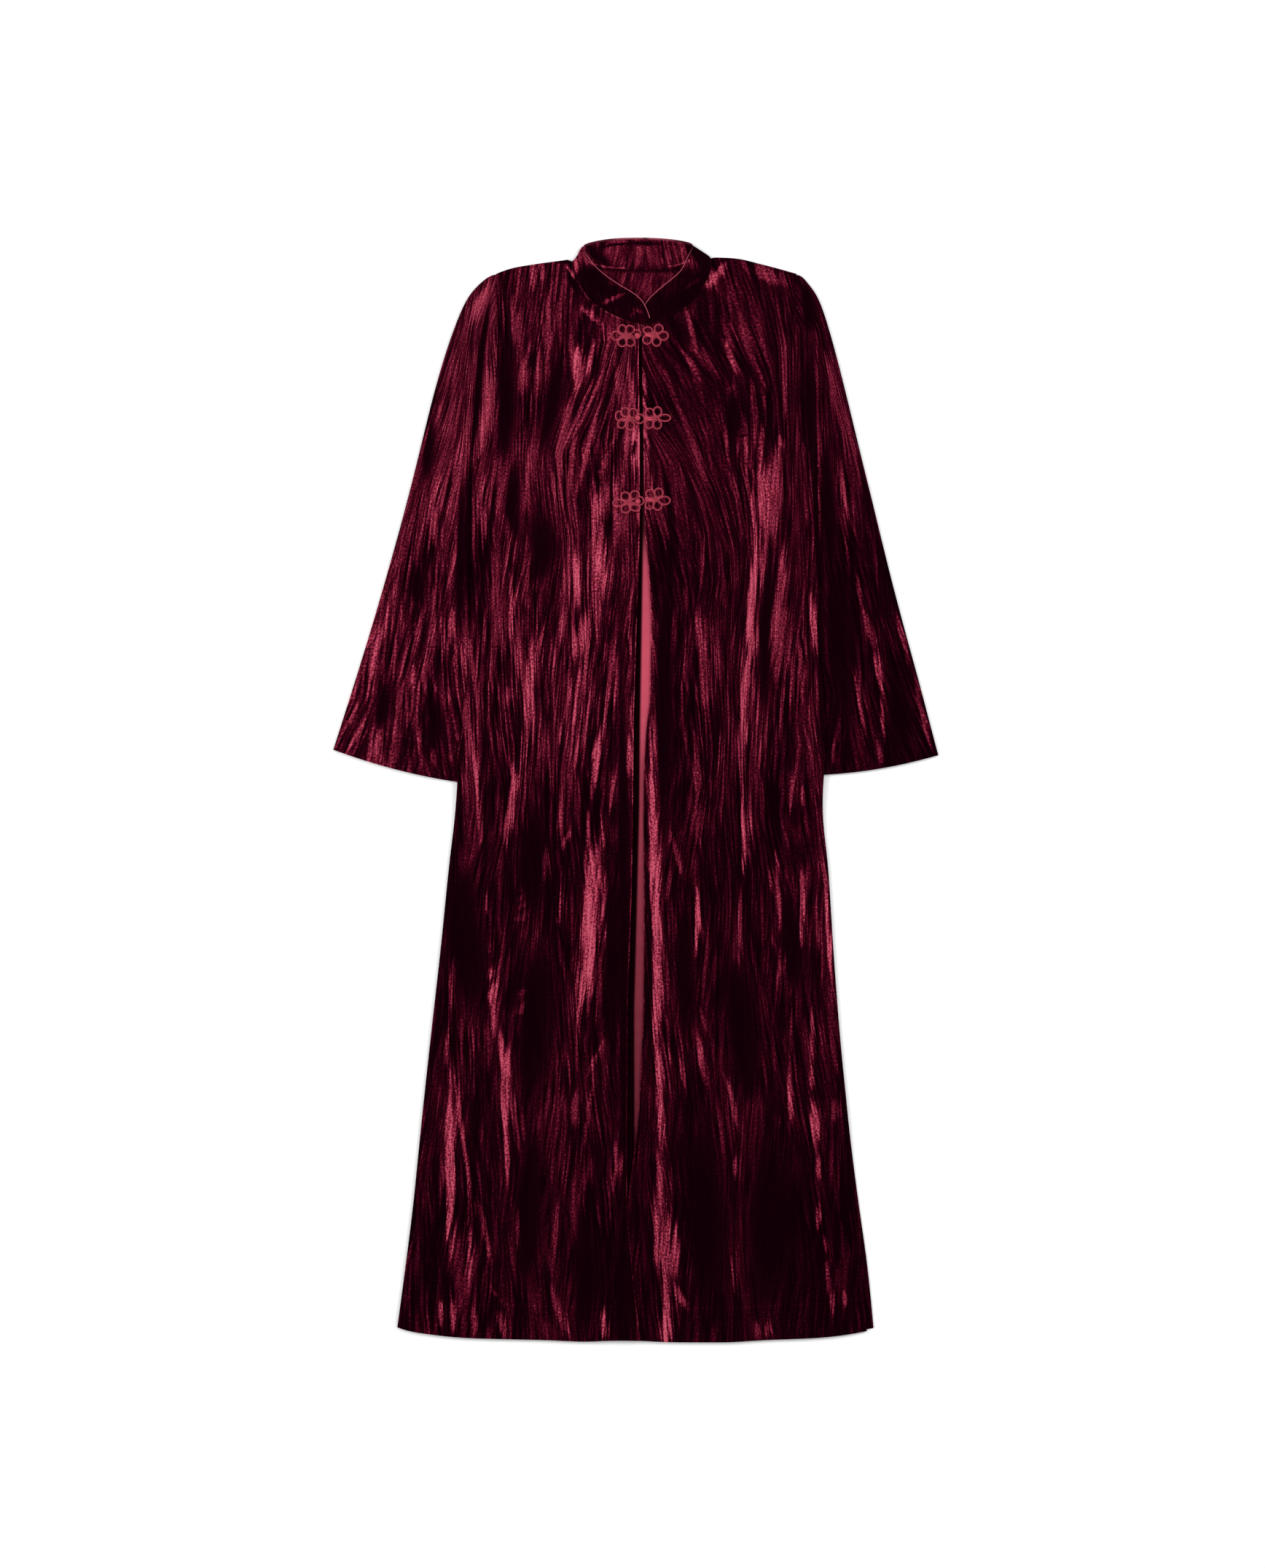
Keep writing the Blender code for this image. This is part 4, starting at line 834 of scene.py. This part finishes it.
# ---- Collar ----
# A stiffened stand collar in two halves that meet at the centre back. It leans back as the
# coat lies, so its inside shows behind and its outside shows on the two front ends.
# Painted sheen on the band's inside and on the wings, and painted shade at the band's left end, at its outer
# corners and on the wings.
COLLAR_STREAKS = pressed(
    (5, 4, 800, 345, 840, 336, 886, 334, 930, 336, 945, 342), (55, 12, 846, 338, 846, 356),
    (60, 13, 874, 340, 874, 360), (70, 18, 896, 346, 914, 347), (55, 10, 923, 342, 938, 350),
    (0, 26, 806, 334, 818, 350, 836, 364), (80, 9, 791, 352, 792, 374), (60, 5, 796, 346, 798, 356),
    (70, 6, 862, 403, 843, 410, 826, 418), (50, 6, 868, 424, 881, 430), (40, 3, 878, 422, 864, 436),
    (35, 7, 833, 388, 847, 393), (30, 6, 935, 400, 958, 384), (0, 16, 808, 370, 830, 402),
    (-50, 30, 940, 328, 956, 344, 968, 362, 974, 380), (0, 30, 975, 370, 940, 412, 905, 432),
)
COLLAR_GROUND = ((320, 0.42, 0.75), (362, 0.42, 0.7), (376, 0.12, 0.35), (450, 0.1, 0.35))
COLLAR_REACH, COLLAR_FLAT = 0.0014, (0.170, 0.042)
SHOULDER, SHOULDER_REACH = 0.682, 0.006  # metres up the frame, and from the shoulder's end to the collar
# The collar's lower seam at the back of the neck, in pixels, x and y by turns.
BAND_SEAM = (812, 362, 828, 366, 845, 368, 905, 367.5, 925, 365, 942, 360)
CORNER = ((338, 0), (345, 2), (350, 4), (356, 5.5), (361, 3), (368, 0))  # pixels down, and drawn in across
CORNER_INSIDE, CORNER_REACH = 806, 16  # where the drawing in ends, and the pixels that it fades over


def draw_corner_in(piece):
    """Draws in the right half's outer corner, where it turns down into the shoulder."""
    points = points_of(piece)
    spots = in_photo(points)
    drawn = np.interp(spots[:, 1], *zip(*CORNER))
    points[:, 0] += drawn * PIXEL * np.clip((CORNER_INSIDE - spots[:, 0]) / CORNER_REACH, 0, 1)
    move_points(piece, points)


joined = [back, facing]
for half, area in (("right", 0.0069), ("left", 0.0063)):
    node = f"collar_{half}"
    band = shells[node] = cloth_shell(node, f"velvet_{node}", VELVET_LEVELS)
    sew(band, joined, COLLAR_REACH)
    joined.append(band)
    if half == "right":
        draw_corner_in(band)
    # A painted highlight runs beside the collar's lower seam.
    pile_on(band, COLLAR_STREAKS, COLLAR_GROUND, NECK_RUN, edge=beside_line(band, BAND_SEAM), grain=WORN)
    band.data.materials.append(velvet)
    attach(band, "root")
    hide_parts(node)
    sew(shells[f"front_{half}"], [band], SHOULDER_REACH, above=SHOULDER)
    sew(facing, [band], SEAM_REACH)

# ---- Collar piping ----
# A thin cord covered with bias-cut satin, caught in the collar's upper seam. Round the back
# of the neck it is rolled over, so it is wider there and its painted sheen shows only in two
# places, with painted shade between and beside them.
# The piping in painted shade and in painted sheen.
PIPING_SHADED, PIPING_SHEEN = (0.012, 0.0004, 0.003, 1), (0.46, 0.09, 0.135, 1)
BACK_SHEEN = (  # pixels across, and how light the piping's painted sheen is there
    (838, 0.0), (848, 0.36), (883, 0.36), (885, 0.0), (887, 0.0), (889, 0.4), (920, 0.3), (930, 0.0)
)
WING_SHEEN = ((340, 0.0), (356, 0.65), (450, 0.8))  # pixels down, and how light its painted sheen is there
ROLLED = 0.709  # metres up the frame: the piping above is at the back of the neck
THINNED = 0.00042  # how far its surface is drawn in along the wings
PIPING_REACH = 0.0016
PIPING_LEVELS, PIPING_SHARPNESS, PIPING_WEAVE = 2, radians(75), 1600

piping_satin = satin_material("piping satin", PIPING_SHADED, PIPING_SHEEN, PIPING_WEAVE)
joined = []
for half in ("right", "left"):
    node = f"piping_{half}"
    cord = cloth_shell(node, f"satin_{node}", PIPING_LEVELS, PIPING_SHARPNESS)
    sew(cord, [shells[f"collar_{half}"]] + joined, PIPING_REACH, above=ROLLED)
    joined.append(cord)
    bpy.ops.object.mode_set(mode="EDIT")
    bpy.ops.mesh.select_mode(type="VERT")
    bpy.ops.mesh.select_all(action="DESELECT")
    bpy.ops.object.mode_set(mode="OBJECT")
    for vertex in cord.data.vertices:
        vertex.select = vertex.co.y < ROLLED
    bpy.ops.object.mode_set(mode="EDIT")
    bpy.ops.transform.shrink_fatten(value=-THINNED)
    bpy.ops.object.mode_set(mode="OBJECT")
    spots = in_photo(points_of(cord))
    behind = np.interp(spots[:, 0], *zip(*BACK_SHEEN))
    ahead = np.interp(spots[:, 1], *zip(*WING_SHEEN))
    sheen = np.where(spots[:, 1] < WING_SHEEN[0][0], behind, ahead)
    # The painted sheen goes into its nap record.
    record_on(cord, nap=sheen, edge=FAR, grain=points_of(cord))
    cord.data.materials.append(piping_satin)
    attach(cord, "root")
    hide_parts(node)

# ---- Frogs ----
# Each half is one length of soutache, a flat braid of two ribs, laid by hand in five loops
# about a middle and sewn to the front. The right halves have a sixth, the button loop.
Frog = namedtuple("Frog", "half number hub loops")  # each loop's middle and its two radii, in pixels
FROGS = (
    Frog("right", 1, (858.5, 460.5), (
        (873.5, 458.7, 5.4, 5.2), (853.9, 452.2, 4.9, 5.4), (844.9, 461, 5.6, 5.4),
        (853.9, 470.2, 5.4, 5.2), (865.2, 469.8, 5.4, 5.2), (864.3, 452.8, 5.4, 5.2),
    )),
    Frog("left", 1, (898.6, 459.5), (
        (903.9, 451.6, 5.4, 5.2), (910.4, 461.2, 6, 5.4), (901, 469.4, 5.2, 5.4),
        (888, 466.8, 5.4, 5.2), (889, 453.5, 5.6, 4),
    )),
    Frog("right", 2, (864.5, 575.3), (
        (877.8, 574.9, 6, 5.8), (858, 566, 4.9, 5.5), (849.2, 571, 4, 6),
        (852.8, 582.4, 4.9, 4.9), (864.9, 584.2, 5.4, 5.4), (868.9, 567, 5.4, 5.4),
    )),
    Frog("left", 2, (900.5, 574.3), (
        (902.2, 565, 5.2, 5.8), (912.3, 573.7, 7.4, 4.2), (901.8, 582.8, 5.2, 5.6),
        (890.7, 582.1, 5.2, 5.2), (891.6, 566.8, 5.4, 5.4),
    )),
    Frog("right", 3, (862.6, 689.3), (
        (877, 687.4, 6, 5.4), (858, 681.2, 5.4, 5.2), (848.9, 690, 7.2, 4),
        (858.5, 698.2, 5.6, 5.2), (871.7, 696.9, 6, 3.8), (871, 679.4, 5.6, 5.2),
    )),
    Frog("left", 3, (899.9, 684.9), (
        (903.9, 676.2, 5.4, 5.6), (911.9, 687, 7.2, 5), (902.2, 694.2, 5.4, 5.4),
        (891.3, 692.9, 5.2, 5.2), (892.4, 678, 5.6, 5.4),
    )),
)
FRONT_EDGE = 885  # pixels across, where the left halves' braid starts and ends
RUN_IN, RUN_OUT = 0.9, -1.3  # pixels below a left half's middle at which its braid comes in and goes out
RIB = 0.38  # radius of each of the braid's two ribs, in millimetres
RIB_APART = 0.72  # each rib's distance from the braid's middle
RIB_SIDES, BRAID_STEPS, BRAID_SMOOTH = 8, 5, radians(50)
LOOP_POINTS = 9
OPEN = 30  # degrees left open to each side of the middle, where a loop crosses itself
MIDDLE = 1.9  # pixels from the frog's middle to where the braid turns from one loop to the next
BRAID_LIFT = 0.25  # millimetres that every second loop lies above its neighbours
# The cord in painted shade, on its inner rib, and with its painted highlight, on its outer one.
CORD_SHADED, CORD_HIGHLIGHT = (0.11, 0.003, 0.012, 1), (0.68, 0.085, 0.14, 1)
TWISTS = 1500  # to the metre
HOLLOW = 6.5  # pixels from the middle over which the strands' painted shade gives way to light
ABOVE_ALL = 0.1  # metres up, higher than any of the coat
OUTER = 0.99, 1.06  # shares of a loop's radius between which the inner rib's painted shade gives way to the outer rib's painted highlight


def braid_route(frog):
    """The points that a frog's braid runs through, in pixels, with the number of each one's loop."""
    x, y = frog.hub
    route = []
    for turn, (loop_x, loop_y, radius_x, radius_y) in enumerate(frog.loops):
        inward = atan2(y - loop_y, x - loop_x)
        for k in range(LOOP_POINTS):
            angle = inward + radians(OPEN + (360 - 2 * OPEN) * k / (LOOP_POINTS - 1))
            route.append((loop_x + radius_x * cos(angle), loop_y + radius_y * sin(angle), turn))
        route.append((x - MIDDLE * cos(inward), y - MIDDLE * sin(inward), turn))
    if frog.half == "left":
        route = [(FRONT_EDGE, y + RUN_IN, 0), (x, y + RUN_IN, 0)] + route + [(FRONT_EDGE, y + RUN_OUT, 0)]
    return route


def surface_height(panel, x, y, otherwise):
    """The height of a panel's upper side, in metres."""
    hit, place, _, _ = panel.ray_cast((x, y, ABOVE_ALL), (0, 0, -1))
    return place.z if hit else otherwise


def braid_rib_profile():
    """The braid's cross section, as a curve: two ribs side by side."""
    shape = bpy.data.curves.new("rib profile", "CURVE")
    shape.dimensions = "2D"
    for middle in (-RIB_APART, RIB_APART):
        line = shape.splines.new("POLY")
        line.points.add(RIB_SIDES - 1)
        for k, point in enumerate(line.points):
            turn = 2 * pi * k / RIB_SIDES
            point.co = ((middle + RIB * cos(turn)) * MM, RIB * sin(turn) * MM, 0, 1)
        line.use_cyclic_u = True
    profile = bpy.data.objects.new("rib profile", shape)
    bpy.context.scene.collection.objects.link(profile)
    return profile


def lay_braid(name, route, profile):
    """A braid along a route of points in metres, as a mesh."""
    shape = bpy.data.curves.new(name, "CURVE")
    shape.dimensions = "3D"
    shape.twist_mode = "Z_UP"
    shape.resolution_u = BRAID_STEPS
    line = shape.splines.new("BEZIER")
    line.bezier_points.add(len(route) - 1)
    for point, place in zip(line.bezier_points, route):
        point.co = place
        point.handle_left_type = point.handle_right_type = "AUTO"
    shape.bevel_mode = "OBJECT"
    shape.bevel_object = profile
    shape.use_fill_caps = True
    braid = bpy.data.objects.new(name, shape)
    bpy.context.scene.collection.objects.link(braid)
    select_only(braid)
    bpy.ops.object.convert(target="MESH")
    bpy.ops.object.shade_smooth_by_angle(angle=BRAID_SMOOTH)
    return bpy.context.object


def outer_rib(braid, frog):
    """1 on the braid's outer rib, where a highlight is painted, and 0 on its inner one and at the middle,
    where shade is painted.
    """
    spots = in_photo(points_of(braid))
    out = np.full(len(spots), np.inf)
    for *middle, radius_x, radius_y in frog.loops:
        off = (spots - middle) / (radius_x, radius_y)
        out = np.minimum(out, np.hypot(*off.T))
    from_middle = np.hypot(*(spots - frog.hub).T)
    return np.clip((out - OUTER[0]) / (OUTER[1] - OUTER[0]), 0, 1) * np.clip(from_middle / HOLLOW, 0, 1)


def cord_material():
    """Rayon cord: bright on the ribs' crests, dark between them, with a fine twist; a highlight is painted on
    the outer rib, and shade on the inner rib and at the frog's middle.
    """
    material, tree = new_material("rayon cord")
    twist = noise(tree, add(tree, "ShaderNodeTexCoord").outputs["Object"], (TWISTS, TWISTS, TWISTS), 2)
    light = maths(tree, "ADD", twist, recorded(tree, "outer"))
    light = maths(tree, "MULTIPLY_ADD", light, 0.6, -0.1, clamp=True)
    colour = add(tree, "ShaderNodeMix", {"Factor": light, 6: CORD_SHADED, 7: CORD_HIGHLIGHT}, data_type="RGBA")
    return surfaced(material, {
        "Base Color": colour.outputs[2],
        "Roughness": 0.5,
        "Normal": relief(tree, twist, 0.5, 0.0003),
        "Specular IOR Level": 0.1,
    })


rayon = cord_material()
profile = braid_rib_profile()
for frog in FROGS:
    node = f"frog_{frog.half}_{frog.number}"
    level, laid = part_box(node)[0].z, []
    for x, y, turn in braid_route(frog):
        across, up = (x - CENTRE_X) * PIXEL, (CENTRE_Y - y) * PIXEL
        level = surface_height(shells[f"front_{frog.half}"], across, up, level)
        laid.append((across, up, level + (RIB + BRAID_LIFT * (1 + turn % 2)) * MM))
    braid = lay_braid(f"{node}_braid", laid, profile)
    record_on(braid, outer=outer_rib(braid, frog))
    braid.data.materials.append(rayon)
    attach(braid, "root")
    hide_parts(node)
bpy.data.objects.remove(profile)

# ---- Knot buttons ----
# Ball knots tied in the same cord, held in the button loops: a core with three turns of
# cord lying over it.
KNOT_TURNS = ((0, 0, 0), (75, 0, 35), (75, 0, -45))
CORE, TURN, CORD = 0.80, 0.72, 0.28  # radii of the core, a turn and its cord, as shares of the knot's
KNOT_LIGHT = 0.55  # a knot's cord is between the braid's painted shade on the inner rib and its painted highlight on the outer one
for number in (1, 2, 3):
    low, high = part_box(f"knot_{number}")
    centre, size = (low + high) / 2, high - low
    bpy.ops.object.select_all(action="DESELECT")
    bpy.ops.mesh.primitive_uv_sphere_add(segments=16, ring_count=10, radius=CORE, location=(0, 0, 0))
    knot = bpy.context.object
    for turn in KNOT_TURNS:
        bpy.ops.mesh.primitive_torus_add(
            major_segments=24, minor_segments=8, major_radius=TURN, minor_radius=CORD,
            rotation=[radians(a) for a in turn],
        )
        bpy.context.object.select_set(True)
        knot.select_set(True)
        bpy.context.view_layer.objects.active = knot
        bpy.ops.object.join()
    knot.name = f"knot_{number}_ball"
    knot.scale = size / 2
    knot.location = centre
    bpy.ops.object.transform_apply(location=True, rotation=True, scale=True)
    bpy.ops.object.shade_smooth()
    record_on(knot, outer=KNOT_LIGHT)
    knot.data.materials.append(rayon)
    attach(knot, "root")
    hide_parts(f"knot_{number}")
